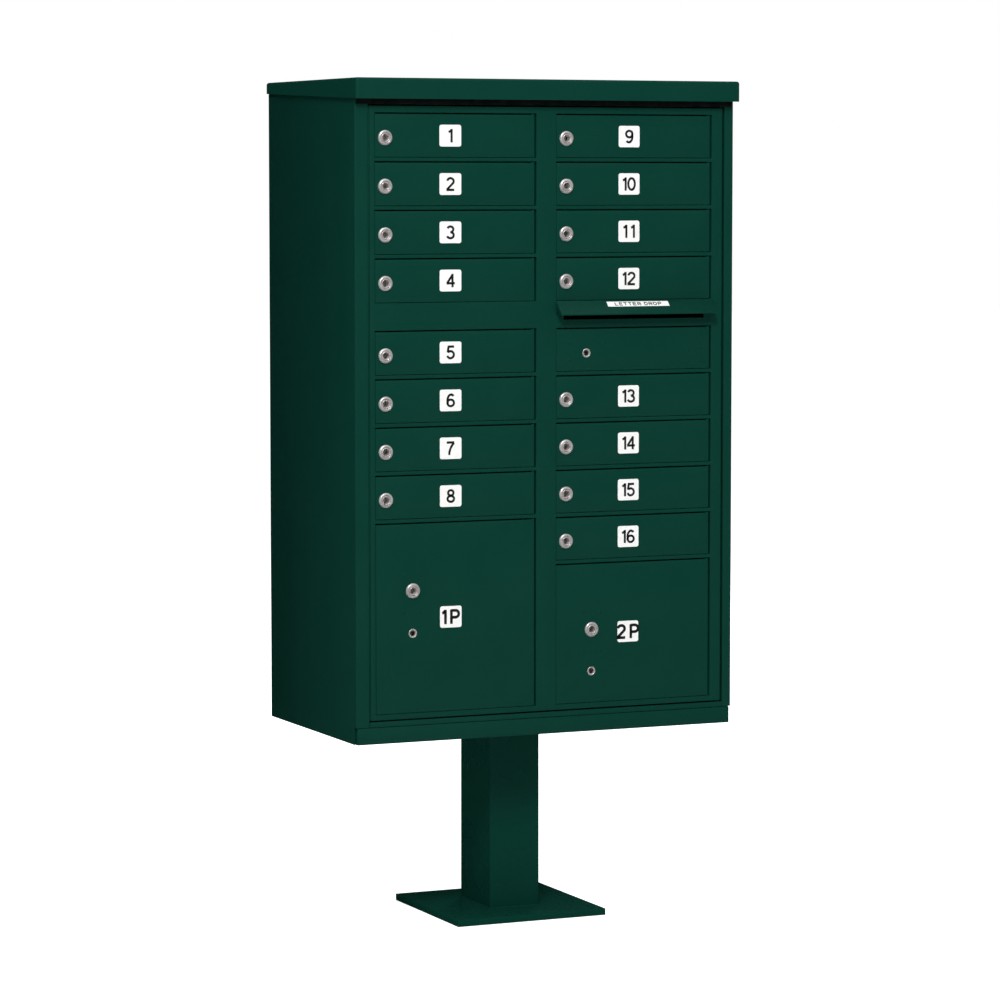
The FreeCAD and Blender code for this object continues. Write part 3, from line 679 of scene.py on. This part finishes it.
hinge_edges = []
for line in panel.edges:
    if all(abs(v.co.x - frame_high.x) < 1e-6 and abs(v.co.y - front_y) < 1e-6 for v in line.verts):
        hinge_edges.append(line)
ease(panel, hinge_edges, ROLLED_EDGE, 8)
crisp = [line for line in sharp_edges(panel, 60) if not in_a_band(middle_of(line))]
ease(panel, crisp, FRAME_EASING)
smoothed(panel)
master_panel = placed("master_door_frame", panel, green_coat)
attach(master_panel, "master_door")
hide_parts("master_frame")

refinished("band_panels", green_coat)
refinished("door_hinge_rods", rod_steel)


# ---- Master door: hood over the mail slot ----
# A bent sheet with two end cheeks, spot welded over the slot. A white vinyl strip on
# its slope says in plain black capitals what the slot is for.

slot_hood = eased_copy("slot_hood_sheet", "mail_slot_hood", green_coat, SHEET_EASING)
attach(slot_hood, "master_door")
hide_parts("mail_slot_hood")

WHITE = (0.86, 0.86, 0.85, 1.0)
WHITE_AGED = (0.74, 0.73, 0.70, 1.0)
INK = (0.006, 0.006, 0.007, 1.0)
INK_WORN = (0.03, 0.03, 0.032, 1.0)


def plain_plastic(name, clean, aged, dull):
    """A smooth plastic face with faint soiling at its edges and a fine grain."""
    finish, tree, shader = new_finish(name)
    skin = effect(tree, peel, Grains_per_metre=1500.0, Mottles_per_metre=45.0)
    edges = effect(tree, rubbed, Reach=0.0008, Patches_per_metre=150.0)
    face = blended(tree, arithmetic(tree, "MULTIPLY", skin.outputs["Mottle"], 0.12), clean, aged)
    tree.links.new(blended(tree, edges.outputs["Mask"], face, aged), shader.inputs["Base Color"])
    gloss = arithmetic(tree, "MULTIPLY", skin.outputs["Mottle"], 0.08)
    tree.links.new(arithmetic(tree, "ADD", gloss, dull), shader.inputs["Roughness"])
    bumped(tree, shader, skin.outputs["Height"], 0.00002)
    return finish


white_face = plain_plastic("white_face", WHITE, WHITE_AGED, 0.32)
black_ink = plain_plastic("black_ink", INK, INK_WORN, 0.5)


def skin_between(solid, lower, upper):
    """Faces between two closed rings with as many points."""
    for index in range(len(lower)):
        after = (index + 1) % len(lower)
        solid.faces.new((lower[index], lower[after], upper[after], upper[index]))


def rounded_plate(solid, half_x, half_z, corner, y_front, y_back, easing):
    """A thin plate with round corners in the X-Z plane, its front rim eased."""
    rings = []
    for shrink, y in [(0.0, y_back), (0.0, y_front + easing), (easing, y_front)]:
        loop = rounded_loop(half_x - shrink, half_z - shrink, corner - shrink, 8)
        rings.append([solid.verts.new((x, y, z)) for x, z in loop])
    for lower, upper in zip(rings, rings[1:]):
        skin_between(solid, lower, upper)
    solid.faces.new(rings[0])
    solid.faces.new(rings[-1])


def bow(x, y, reach_x, reach_y, start, end, steps=22):
    """A pen path along part of an ellipse, angles in degrees."""
    path = []
    for step in range(steps + 1):
        angle = math.radians(start + (end - start) * step / steps)
        path.append((x + reach_x * math.cos(angle), y + reach_y * math.sin(angle)))
    return path


# Pen paths of plain sans-serif capitals and figures, one unit tall.
SIX = [bow(0.33, 0.31, 0.24, 0.245, 0, 360, 32), bow(0.36, 0.49, 0.27, 0.445, 48, 212)]
BOWL = [(0.10, 0.93), (0.36, 0.93)] + bow(0.38, 0.69, 0.22, 0.24, 90, -90, 12) + [(0.10, 0.45)]
LETTERS = {
    "0": [bow(0.33, 0.5, 0.25, 0.435, 0, 360, 32)],
    "1": [[(0.46, 0.0), (0.46, 1.0)], [(0.24, 0.77), (0.33, 0.81), (0.42, 0.88), (0.46, 0.97)]],
    "2": [bow(0.33, 0.70, 0.235, 0.235, 170, -28) + [(0.07, 0.09)], [(0.03, 0.065), (0.60, 0.065)]],
    "3": [bow(0.31, 0.725, 0.215, 0.21, 160, -90), bow(0.31, 0.29, 0.245, 0.225, 90, -162)],
    "4": [[(0.46, 0.0), (0.46, 1.0)], [(0.47, 0.94), (0.07, 0.31)], [(0.02, 0.295), (0.63, 0.295)]],
    "5": [[(0.57, 0.935), (0.17, 0.935), (0.10, 0.50)], bow(0.31, 0.33, 0.245, 0.265, 140, -162)],
    "6": SIX,
    "7": [[(0.05, 0.935), (0.60, 0.935)],
          [(0.58, 0.90), (0.42, 0.68), (0.31, 0.44), (0.25, 0.20), (0.23, 0.0)]],
    "8": [bow(0.33, 0.735, 0.20, 0.20, 0, 360, 28), bow(0.33, 0.285, 0.245, 0.22, 0, 360, 28)],
    "9": [[(0.66 - x, 1 - y) for x, y in path] for path in SIX],
    "P": [[(0.10, 0.0), (0.10, 1.0)], BOWL],
    "R": [[(0.10, 0.0), (0.10, 1.0)], BOWL, [(0.33, 0.45), (0.60, 0.0)]],
    "L": [[(0.10, 0.0), (0.10, 1.0)], [(0.10, 0.065), (0.58, 0.065)]],
    "E": [[(0.10, 0.0), (0.10, 1.0)], [(0.10, 0.065), (0.62, 0.065)], [(0.10, 0.53), (0.58, 0.53)],
          [(0.10, 0.935), (0.61, 0.935)]],
    "T": [[(0.33, 0.0), (0.33, 1.0)], [(0.03, 0.935), (0.63, 0.935)]],
    "D": [[(0.10, 0.0), (0.10, 1.0)],
          [(0.10, 0.935), (0.28, 0.935)] + bow(0.28, 0.5, 0.32, 0.435, 90, -90, 16) + [(0.10, 0.065)]],
    "O": [bow(0.36, 0.5, 0.31, 0.435, 0, 360, 32)],
}


def pen_stroke(solid, path, half_width, deep):
    """A flat stroke of even width along a path, as a closed prism that stands out along -Y."""
    joined = (Vector(path[0]) - Vector(path[-1])).length < 1e-6
    points = [Vector(p) for p in (path[:-1] if joined else path)]
    count = len(points)
    left, right = [], []
    for index, point in enumerate(points):
        before = points[index - 1] if index or joined else point
        after = points[(index + 1) % count] if index < count - 1 or joined else point
        arriving = (point - before).normalized() if before != point else (after - point).normalized()
        leaving = (after - point).normalized() if after != point else arriving
        along = (arriving + leaving).normalized()
        wide = half_width / max(0.5, along.dot(leaving))
        aside = Vector((-along.y, along.x)) * wide
        left.append(point + aside)
        right.append(point - aside)
    rings = [[solid.verts.new((p.x, y, p.y)) for p in side]
             for side in (left, right) for y in (0.0, -deep)]
    for index in range(count if joined else count - 1):
        after = (index + 1) % count
        for one, other in ((0, 2), (2, 3), (3, 1), (1, 0)):
            solid.faces.new((rings[one][index], rings[one][after],
                             rings[other][after], rings[other][index]))
    if not joined:
        for end in (0, count - 1):
            solid.faces.new([rings[r][end] for r in (0, 2, 3, 1)])


def lettering(words, cap_height, boldness, deep, stretch=1.0, spacing=0.14):
    """Capitals or figures as thin solids in the X-Z plane, centred on the origin."""
    solid = bmesh.new()
    pen_x = 0.0
    for character in words:
        if character == " ":
            pen_x += 0.45 * stretch
            continue
        paths = LETTERS[character]
        for path in paths:
            pen_stroke(solid, [(pen_x + x * stretch, y) for x, y in path], boldness, deep / cap_height)
        pen_x += (max(x for path in paths for x, y in path) + spacing) * stretch
    low_x = min(v.co.x for v in solid.verts)
    high_x = max(v.co.x for v in solid.verts)
    centre = Vector(((low_x + high_x) / 2, 0.0, 0.5))
    for vertex in solid.verts:
        vertex.co = (vertex.co - centre) * cap_height
    outward(solid)
    return solid


STRIP_HALF_X = 0.0635
STRIP_HALF_Z = 0.0062
STRIP_T = 0.0003
STRIP_FROM_ROOT = 0.0104
STRIP_X = 0.1820
INK_T = 0.00015
hood_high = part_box("mail_slot_hood")[1]
strip_middle = Vector((STRIP_X, front_y, hood_high.z)) + Vector((0, -1, -1)).normalized() * STRIP_FROM_ROOT
on_slope = Matrix.Translation(strip_middle) @ Matrix.Rotation(math.radians(-45), 4, "X")
strip = bmesh.new()
rounded_plate(strip, STRIP_HALF_X, STRIP_HALF_Z, 0.0004, -STRIP_T, 0.0001, 0.0001)
outward(strip)
bmesh.ops.transform(strip, matrix=on_slope, verts=strip.verts)
strip_piece = placed("slot_label_strip", strip, white_face)
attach(strip_piece, "master_door")
words = lettering("LETTER DROP", 0.0076, 0.11, INK_T, 1.5, 0.2)
on_strip = on_slope @ Matrix.Translation(Vector((0, -STRIP_T, 0)))
bmesh.ops.transform(words, matrix=on_strip, verts=words.verts)
words_piece = placed("slot_label_words", words, black_ink)
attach(words_piece, "master_door")


# ---- Master latch ----
# A zinc-plated bar slides behind the filler band into the left jamb. The carrier
# works it with the bent tab that hangs inside the outgoing-mail compartment.

LATCH_EASING = 0.0005
latch_piece = eased_copy("master_latch_bar", "master_latch", zinc, LATCH_EASING)
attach(latch_piece, "master_latch")
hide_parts("master_latch")


# ---- Doors: folded leaves with rolled hinge barrels ----
# Each leaf is a 2 mm sheet folded back on three sides, and rolled into a barrel
# that turns on its column's steel rod. Holes for the locks are punched in the face.

LEAF_SHEET = 0.002
LEAF_BEND = 0.0016
LEAF_EASING = 0.0004
BARREL_R = 0.004
BARREL_BORE = 0.0016
BEND_INSIDE = 0.0004
ROLL_START = 0.02
EASED_END = 0.005
FOLD_END = 0.008
PUNCH_AHEAD = 0.003
PUNCH_BEHIND = 0.004
LOCK_HOLE_R = 0.00955
SMALL_HOLE_R = 0.0083


def arc(centre_x, centre_y, radius, start, end, steps):
    """Points on an arc, angles in degrees."""
    return bow(centre_x, centre_y, radius, radius, start, end, steps)


def tube_between(solid, outer, inner, low_z, high_z):
    """Closed upright prism between two plan outlines, the second one its hole."""
    rings = {}
    for label, outline in (("outer", outer), ("inner", inner)):
        for z in (low_z, high_z):
            rings[label, z] = [solid.verts.new((x, y, z)) for x, y in outline]
        skin_between(solid, rings[label, low_z], rings[label, high_z])
    for z in (low_z, high_z):
        rim = []
        for label in ("outer", "inner"):
            ring_now = rings[label, z]
            for here, after in zip(ring_now, ring_now[1:] + ring_now[:1]):
                line = solid.edges.get((here, after))
                if line:
                    rim.append(line)
        bmesh.ops.triangle_fill(solid, use_beauty=True, use_dissolve=False, edges=rim)


def turned(solid, profile, x, z, steps=40):
    """Turns a closed (radius, y) profile about a line along Y."""
    rings = []
    for radius, y in profile:
        if radius < 1e-7:
            rings.append([solid.verts.new((x, y, z))])
            continue
        ring_now = []
        for step in range(steps):
            angle = 2 * math.pi * step / steps
            ring_now.append(solid.verts.new((x + radius * math.cos(angle), y, z + radius * math.sin(angle))))
        rings.append(ring_now)
    closed = len(rings[0]) > 1
    pairs = list(zip(rings, rings[1:] + rings[:1])) if closed else list(zip(rings, rings[1:]))
    for lower, upper in pairs:
        if len(lower) == len(upper):
            skin_between(solid, lower, upper)
            continue
        for step in range(steps):
            after = (step + 1) % steps
            if len(lower) == 1:
                solid.faces.new((lower[0], upper[after], upper[step]))
            else:
                solid.faces.new((lower[step], lower[after], upper[0]))


def cut_away(piece, cutter):
    """Cuts a bmesh out of a piece and leaves a plain mesh."""
    tool = placed("cutter", cutter, green_coat)
    modifier = piece.modifiers.new("cut", "BOOLEAN")
    modifier.operation = "DIFFERENCE"
    modifier.solver = "EXACT"
    modifier.object = tool
    seen = piece.evaluated_get(bpy.context.evaluated_depsgraph_get())
    mesh = bpy.data.meshes.new_from_object(seen)
    piece.modifiers.remove(modifier)
    piece.data = mesh
    bpy.data.objects.remove(tool)


def locks_of(node):
    """The lock nodes that a door carries: its own or customer lock, then the carrier's."""
    if node == "outgoing_door":
        return [("outgoing_lock", True)]
    if node.startswith("parcel_door"):
        return [("parcel_lock_" + node[-1], False), ("carrier_lock_" + node[-1], True)]
    return [("lock_" + node[-2:], False)]


def lock_centre(lock):
    """Where a lock's axis meets the door's face."""
    return joint_at[lock + "_turn"]


for node in door_nodes:
    rod = joint_at[node + "_hinge"]
    x0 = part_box(node)[0].x
    low_z, high_z = leaf_height(node)
    back_y = front_y + DOOR_DEPTH
    outline = [(x0 + LEAF_SHEET, back_y), (x0, back_y)]
    outline += arc(x0 + LEAF_BEND, front_y + LEAF_BEND, LEAF_BEND, 180, 270, 5)
    outline += [(rod.x - ROLL_START, front_y)]
    skin_meets = math.degrees(math.asin((rod.y - front_y - LEAF_SHEET) / BARREL_R))
    outline += arc(rod.x, rod.y, BARREL_R, -90, 180 + skin_meets, 20)
    outline += arc(x0 + LEAF_SHEET + BEND_INSIDE, front_y + LEAF_SHEET + BEND_INSIDE,
                   BEND_INSIDE, 270, 180, 3)
    leaf = bmesh.new()
    bore = arc(rod.x, rod.y, BARREL_BORE, 0, 345, 23)
    tube_between(leaf, outline, bore, low_z, high_z)
    outward(leaf)
    rim = []
    for line in sharp_edges(leaf, 60):
        middle = middle_of(line)
        on_front = middle.y < front_y + LEAF_BEND and middle.x < rod.x - EASED_END
        if on_front and min(abs(middle.z - low_z), abs(middle.z - high_z)) < 1e-6:
            rim.append(line)
    ease(leaf, rim, LEAF_EASING, 3)
    leaf_piece = placed(node + "_leaf", leaf, green_coat)
    for lock, small in locks_of(node):
        at = lock_centre(lock)
        hole_r = SMALL_HOLE_R if small else LOCK_HOLE_R
        cutter = bmesh.new()
        ahead = front_y - PUNCH_AHEAD
        behind = front_y + PUNCH_BEHIND
        turned(cutter, [(0.0, ahead), (hole_r, ahead), (hole_r, behind), (0.0, behind)], at.x, at.z, 32)
        outward(cutter)
        cut_away(leaf_piece, cutter)
    folded = bmesh.new()
    folded.from_mesh(leaf_piece.data)
    for fold_low, fold_high in ((low_z, low_z + LEAF_SHEET), (high_z - LEAF_SHEET, high_z)):
        block(folded, (x0 + LEAF_SHEET, front_y + LEAF_SHEET, fold_low),
              (rod.x - FOLD_END, back_y, fold_high))
    tube_between(folded, arc(rod.x, rod.y, BARREL_R, 0, 345, 23), bore,
                 high_z, high_z + LEAF_GAPS["barrel"])
    outward(folded)
    smoothed(folded)
    folded.to_mesh(leaf_piece.data)
    folded.free()
    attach(leaf_piece, node)
    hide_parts(node)


# ---- Doors: number plates and figures ----
# White plastic plates with rounded corners, glued on the middle of each door's face,
# with black figures. The parcel doors' plates have the letter P after the number.

PLATE_HALF_X = 0.0215
PLATE_HALF_Z = 0.0198
PLATE_T = 0.0008
PLATE_CORNER = 0.004
PLATE_FROM_EDGE = 0.148
FIGURE_H = 0.0244
PARCEL_FIGURE_H = 0.0265

for node in door_nodes:
    if node == "outgoing_door":
        continue
    low_z, high_z = leaf_height(node)
    centre = Vector((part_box(node)[0].x + PLATE_FROM_EDGE, front_y, (low_z + high_z) / 2))
    plate = bmesh.new()
    rounded_plate(plate, PLATE_HALF_X, PLATE_HALF_Z, PLATE_CORNER, -PLATE_T, 0.0, 0.0002)
    outward(plate)
    bmesh.ops.translate(plate, vec=centre, verts=plate.verts)
    smoothed(plate)
    plate_piece = placed(node + "_plate", plate, white_face)
    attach(plate_piece, node)
    parcel = node.startswith("parcel_door")
    number = node[-1] + "P" if parcel else str(int(node[-2:]))
    bold = 0.1 if parcel else 0.086
    wide, apart = (1.12, 0.3) if parcel else (1.1, 0.12)
    figures = lettering(number, PARCEL_FIGURE_H if parcel else FIGURE_H, bold, INK_T, wide, apart)
    bmesh.ops.translate(figures, vec=centre + Vector((0, -PLATE_T, 0)), verts=figures.verts)
    figures_piece = placed(node + "_figures", figures, black_ink)
    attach(figures_piece, node)


# ---- Doors: spot-weld marks ----
# Faint pips under the paint where studs are welded to the back of the face, round the
# outgoing-mail lock's case and the parcel doors' carrier locks.

PIP_R = 0.0032
PIP_H = 0.0008
PIPS_ABOVE_MIDDLE = 0.0372
PIPS = {
    "outgoing_door": [(0.0267, 0.0129), (0.0267, -0.0187), (0.0986, 0.0131), (0.0986, -0.0199),
                      (0.2972, 0.0278), (0.2972, 0.0014), (0.2972, -0.0233), (0.2719, -0.0038)],
    "parcel_door_1": [(0.0569, 0.0315), (0.0898, 0.0316), (0.0560, -0.0363), (0.0898, -0.0372)],
    "parcel_door_2": [(0.0554, 0.0345), (0.0905, 0.0335), (0.0555, -0.0381), (0.0907, -0.0381)],
}
for node, pips in PIPS.items():
    x0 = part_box(node)[0].x
    if node == "outgoing_door":
        middle_z = sum(leaf_height(node)) / 2
    else:
        locks_z = [lock_centre(kind + node[-1]).z for kind in ("parcel_lock_", "carrier_lock_")]
        middle_z = sum(locks_z) / 2 + PIPS_ABOVE_MIDDLE
    points = [(x0 + dx, front_y, middle_z + dz) for dx, dz in pips]
    pip_piece = domes(node + "_pips", points, PIP_R, PIP_H, green_coat)
    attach(pip_piece, node)


# ---- Locks: housings, rings, nuts and cases ----
# Nickel-plated cam locks. The housing's domed bezel has a groove round a raised inner
# ring, and a hexagonal nut holds it. The carrier's locks are cases behind a plain ring.

nickel = bare_metal("satin_nickel", (0.56, 0.53, 0.52, 1), (0.70, 0.68, 0.67, 1), 0.30,
                    (700, 700, 700), 0.000012, 0.55)
# The plugs are coloured darker than the nickel round them; the small locks' plug is darkest, with a reddish
# tint.
worn_plug = bare_metal("worn_plug", (0.44, 0.41, 0.40, 1), (0.58, 0.55, 0.54, 1), 0.34,
                       (900, 900, 900), 0.00002, 0.6)
dark_plug = bare_metal("dark_plug", (0.17, 0.12, 0.115, 1), (0.30, 0.24, 0.23, 1), 0.4,
                       (900, 900, 900), 0.00002, 0.6)
SCREW_H = 0.003
CAM_T = 0.0025
CAM_CLEAR = 0.0003
cam_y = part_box("lock_01")[1].y - SCREW_H - CAM_T
housing_back = cam_y - CAM_CLEAR
THREAD_R = 0.0095
PLUG_BORE = 0.0063
CASE_BORE = 0.0051
NUT_FLATS = 0.024
NUT_T = 0.004
KEEPER_X = 0.010
KEEPER_T = 0.002
KEEPER_FROM_EDGE = 0.006
BOLT_HALF = 0.007
BOLT_T = 0.003
PLAY = 0.0005
CASE_LONG = 0.084
CASE_SHORT = 0.046

BEZEL = [(13.75, 0.0), (13.75, 1.5), (13.45, 2.3), (12.7, 3.1), (11.6, 3.7), (10.5, 4.0), (9.9, 4.0),
         (9.5, 3.7), (9.4, 2.4), (9.1, 1.9), (8.6, 1.9), (8.4, 2.4), (8.25, 3.3), (7.9, 3.75), (7.4, 3.9),
         (6.9, 3.8), (6.5, 3.4), (6.3, 2.6)]
SMALL_RING = [(8.25, -1.9), (8.25, 0.2), (8.0, 0.55), (7.5, 0.7), (6.9, 0.65), (6.5, 0.3), (6.3, -0.8),
              (5.1, -1.0), (5.1, -1.9)]


def collar(solid, reach, corner_angles, bore_r, x, z, y0, y1):
    """A flat ring with a round bore, and an outline given by its reach at each angle."""
    angles = sorted(set([round(math.radians(7.5 * step), 9) for step in range(48)]
                        + [round(a % (2 * math.pi), 9) for a in corner_angles]))
    loops = []
    for radius_of in (reach, lambda angle: bore_r):
        for y in (y0, y1):
            places = [(x + radius_of(a) * math.cos(a), y, z + radius_of(a) * math.sin(a)) for a in angles]
            loops.append([solid.verts.new(place) for place in places])
    outer_front, outer_back, bore_front, bore_back = loops
    skin_between(solid, outer_front, outer_back)
    skin_between(solid, outer_back, bore_back)
    skin_between(solid, bore_back, bore_front)
    skin_between(solid, bore_front, outer_front)


def hexagon_reach(angle):
    """How far a hexagonal nut reaches at an angle."""
    return NUT_FLATS / 2 / math.cos((angle % (math.pi / 3)) - math.pi / 6)


def rectangle_reach(half_x, half_z):
    """How far a rectangle reaches at an angle."""
    def reach(angle):
        across = abs(math.cos(angle))
        up = abs(math.sin(angle))
        return min(half_x / across if across > 1e-9 else 1.0, half_z / up if up > 1e-9 else 1.0)
    return reach


def bolt_keeper(solid, door_x, z):
    """A bridge on the back of the door that a bolt bar slides under."""
    near = door_x + KEEPER_FROM_EDGE
    inner = cam_y + BOLT_T + PLAY
    reach = BOLT_HALF + PLAY
    block(solid, (near, inner, z - reach - KEEPER_T),
          (near + KEEPER_X, inner + KEEPER_T, z + reach + KEEPER_T))
    for low in (z - reach - KEEPER_T, z + reach):
        block(solid, (near, front_y + LEAF_SHEET, low), (near + KEEPER_X, inner, low + KEEPER_T))


for node in door_nodes:
    hardware = bmesh.new()
    behind = bmesh.new()
    for lock, small in locks_of(node):
        at = lock_centre(lock)
        if small:
            ring_profile = [(r / 1000, front_y - out / 1000) for r, out in SMALL_RING]
            turned(hardware, ring_profile, at.x, at.z)
            wide, tall = (CASE_LONG, CASE_SHORT) if node == "outgoing_door" else (CASE_SHORT, CASE_LONG)
            corner = math.atan2(tall, wide)
            collar(behind, rectangle_reach(wide / 2, tall / 2),
                   [corner, math.pi - corner, math.pi + corner, -corner], CASE_BORE,
                   at.x, at.z, front_y + LEAF_SHEET, front_y + DOOR_DEPTH)
        else:
            housing = [(r / 1000, front_y - out / 1000) for r, out in BEZEL]
            housing += [(PLUG_BORE, housing_back), (THREAD_R - CAM_CLEAR, housing_back),
                        (THREAD_R, housing_back - CAM_CLEAR), (THREAD_R, front_y)]
            turned(hardware, housing, at.x, at.z, 48)
            corners_at = [math.radians(60 * step) for step in range(6)]
            collar(hardware, hexagon_reach, corners_at, THREAD_R, at.x, at.z,
                   front_y + LEAF_SHEET, front_y + LEAF_SHEET + NUT_T)
        if lock.startswith("parcel_lock") or lock == "outgoing_lock":
            bolt_keeper(behind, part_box(node)[0].x, at.z)
    outward(hardware)
    smoothed(hardware, math.radians(40))
    hardware_piece = placed(node + "_lock_body", hardware, nickel)
    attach(hardware_piece, node)
    if len(behind.verts):
        outward(behind)
        smoothed(behind, math.radians(40))
        behind_piece = placed(node + "_lock_case", behind, zinc)
        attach(behind_piece, node)
    else:
        behind.free()


# ---- Locks: plugs with keyways, cams and cranks ----
# The plug turns in its housing and carries the cam on its back end, held by a screw.
# Unlocked, as here, the keyway is upright and the cam hangs down.

CAM_HALF = 0.006
CAM_TIP = 0.002
CAM_REACH = 0.0268
CRANK_REACH = 0.016
SCREW_R = 0.004
RECESS_R = 0.0014
PLUG_RIM = 0.0005
KEYWAY_DEEP = 0.0035


def lock_plug(radius, face_y, key_w, key_h):
    """A plug at the origin with its keyway cut, ready to be copied to each lock."""
    solid = bmesh.new()
    back_end = cam_y + 0.0001
    turned(solid, [(0.0, face_y), (radius * 0.55, face_y), (radius - 2 * PLUG_RIM, face_y - 0.0001),
                   (radius - PLUG_RIM, face_y), (radius, face_y + PLUG_RIM), (radius, back_end),
                   (0.0, back_end)], 0.0, 0.0)
    outward(solid)
    smoothed(solid)
    plug = placed("plug_blank", solid, nickel)
    keyway = bmesh.new()
    block(keyway, (-key_w / 2, face_y - 0.002, -key_h / 2), (key_w / 2, face_y + KEYWAY_DEEP, key_h / 2))
    block(keyway, (-key_w * 0.9, face_y - 0.003, -key_h * 0.12),
          (key_w * 0.2, face_y + KEYWAY_DEEP + 0.0003, key_h * 0.16))
    outward(keyway)
    cut_away(plug, keyway)
    mesh = plug.data
    bpy.data.objects.remove(plug)
    return mesh


def cam_arm(solid, x, z, reach):
    """A flat arm with round ends, one round the plug and one at its tip."""
    tip_z = z - reach + CAM_TIP
    outline = arc(x, z, CAM_HALF, 0, 180, 14)
    outline += arc(x - CAM_HALF + CAM_TIP, tip_z, CAM_TIP, 180, 270, 4)
    outline += arc(x + CAM_HALF - CAM_TIP, tip_z, CAM_TIP, 270, 360, 4)
    front_ring = [solid.verts.new((px, cam_y, pz)) for px, pz in outline]
    back_ring = [solid.verts.new((px, cam_y + CAM_T, pz)) for px, pz in outline]
    skin_between(solid, front_ring, back_ring)
    solid.faces.new(front_ring)
    solid.faces.new(list(reversed(back_ring)))


plug_meshes = {False: lock_plug(0.0057, front_y - 0.0034, 0.0015, 0.0066),
               True: lock_plug(0.0048, front_y + 0.0002, 0.0014, 0.0058)}
for node in door_nodes:
    for lock, small in locks_of(node):
        at = lock_centre(lock)
        works = bmesh.new()
        works.from_mesh(plug_meshes[small])
        bmesh.ops.translate(works, vec=Vector((at.x, 0, at.z)), verts=works.verts)
        fresh = bmesh.new()
        cam_arm(fresh, at.x, at.z, CAM_REACH if lock.startswith("lock_") else CRANK_REACH)
        screw_low = cam_y + CAM_T
        screw_back = screw_low + SCREW_H
        turned(fresh, [(0.0, screw_low), (SCREW_R, screw_low), (SCREW_R, screw_back - 0.0008),
                       (SCREW_R - 0.0008, screw_back), (RECESS_R + 0.0004, screw_back),
                       (RECESS_R, screw_back - 0.0012), (0.0, screw_back - 0.0012)], at.x, at.z, 24)
        outward(fresh)
        smoothed(fresh)
        cam_mesh = bpy.data.meshes.new("cam")
        fresh.to_mesh(cam_mesh)
        fresh.free()
        works.from_mesh(cam_mesh)
        bpy.data.meshes.remove(cam_mesh)
        works_piece = placed(lock + "_plug", works, dark_plug if small else worn_plug)
        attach(works_piece, lock)
        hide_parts(lock)


# ---- Bolts ----
# Zinc-plated flat bars, one for each parcel door and one for the outgoing door.
# Each slides under its keeper and behind the stile when its lock turns.

BOLT_EASING = 0.0004
for bolt in ("parcel_bolt_1", "parcel_bolt_2", "outgoing_bolt"):
    bolt_piece = eased_copy(bolt + "_bar", bolt, zinc, BOLT_EASING)
    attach(bolt_piece, bolt)
    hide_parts(bolt)


# ---- Studio ----
# A wide white floor, an even pale surround and three large soft lamps: one high at the
# front, a little to the left, one overhead and one behind for the back and right side.

FLOOR_WHITE = (0.93, 0.93, 0.93, 1.0)
floor_finish, floor_tree, floor_shader = new_finish("studio_floor")
floor_skin = effect(floor_tree, peel, Grains_per_metre=60.0, Mottles_per_metre=1.5)
floor_colour = blended(floor_tree, floor_skin.outputs["Mottle"], FLOOR_WHITE, (0.95, 0.95, 0.95, 1.0))
floor_tree.links.new(floor_colour, floor_shader.inputs["Base Color"])
floor_shader.inputs["Roughness"].default_value = 0.9
floor_shader.inputs["Specular IOR Level"].default_value = 0.0
seen_floor = floor_tree.nodes.new("ShaderNodeLightPath")
glow = arithmetic(floor_tree, "MULTIPLY", seen_floor.outputs["Is Camera Ray"], 0.72)
floor_tree.links.new(glow, floor_shader.inputs["Emission Strength"])
floor_shader.inputs["Emission Color"].default_value = (1.0, 1.0, 1.0, 1.0)
FLOOR_HALF = 30
FLOOR_T = 0.02
floor = bmesh.new()
block(floor, (-FLOOR_HALF, -FLOOR_HALF, -FLOOR_T), (FLOOR_HALF, FLOOR_HALF, 0.0))
outward(floor)
floor_piece = placed("studio_floor", floor, floor_finish)
floor_piece.visible_glossy = False

surround = bpy.data.worlds.new("studio_surround")
bpy.context.scene.world = surround
surround.use_nodes = True
sky = surround.node_tree.nodes["Background"]
seen_straight = surround.node_tree.nodes.new("ShaderNodeLightPath")
brightness = surround.node_tree.nodes.new("ShaderNodeMapRange")
brightness.inputs["To Min"].default_value = 0.39
brightness.inputs["To Max"].default_value = 1.0
surround.node_tree.links.new(seen_straight.outputs["Is Camera Ray"], brightness.inputs["Value"])
surround.node_tree.links.new(brightness.outputs["Result"], sky.inputs["Strength"])
sky.inputs["Color"].default_value = (1.0, 1.0, 1.0, 1.0)
surround.cycles_visibility.glossy = False


LAMPS_AIM = Vector((0, 0, 0.9))


def soft_lamp(name, place, width, power):
    """A large square lamp that faces the cabinet's middle."""
    lamp = bpy.data.lights.new(name, "AREA")
    lamp.shape = "SQUARE"
    lamp.size = width
    lamp.energy = power
    holder = bpy.data.objects.new(name, lamp)
    bpy.context.scene.collection.objects.link(holder)
    holder.location = place
    holder.rotation_mode = "QUATERNION"
    holder.rotation_quaternion = (LAMPS_AIM - Vector(place)).to_track_quat("-Z", "Y")
    return holder


soft_lamp("front_lamp", (-2.4, -4.6, 5.2), 1.8, 312)
soft_lamp("overhead_lamp", (0.0, -0.8, 5.0), 4.0, 50)
rear_lamp = soft_lamp("rear_lamp", (3.2, 4.6, 3.6), 1.8, 200)
rear_lamp.visible_glossy = False

bpy.context.scene.view_settings.view_transform = "Standard"
bpy.context.scene.view_settings.look = "None"

lens = bpy.data.cameras.new("camera")
lens.lens = 140.73
lens.sensor_width = 36.0
lens.clip_end = 100.0
camera = bpy.data.objects.new("camera", lens)
bpy.context.scene.collection.objects.link(camera)
camera.location = (-3.0226, -6.7689, 1.3896)
camera.rotation_euler = (math.radians(85.332), 0.0, math.radians(-24.069))
bpy.context.scene.camera = camera
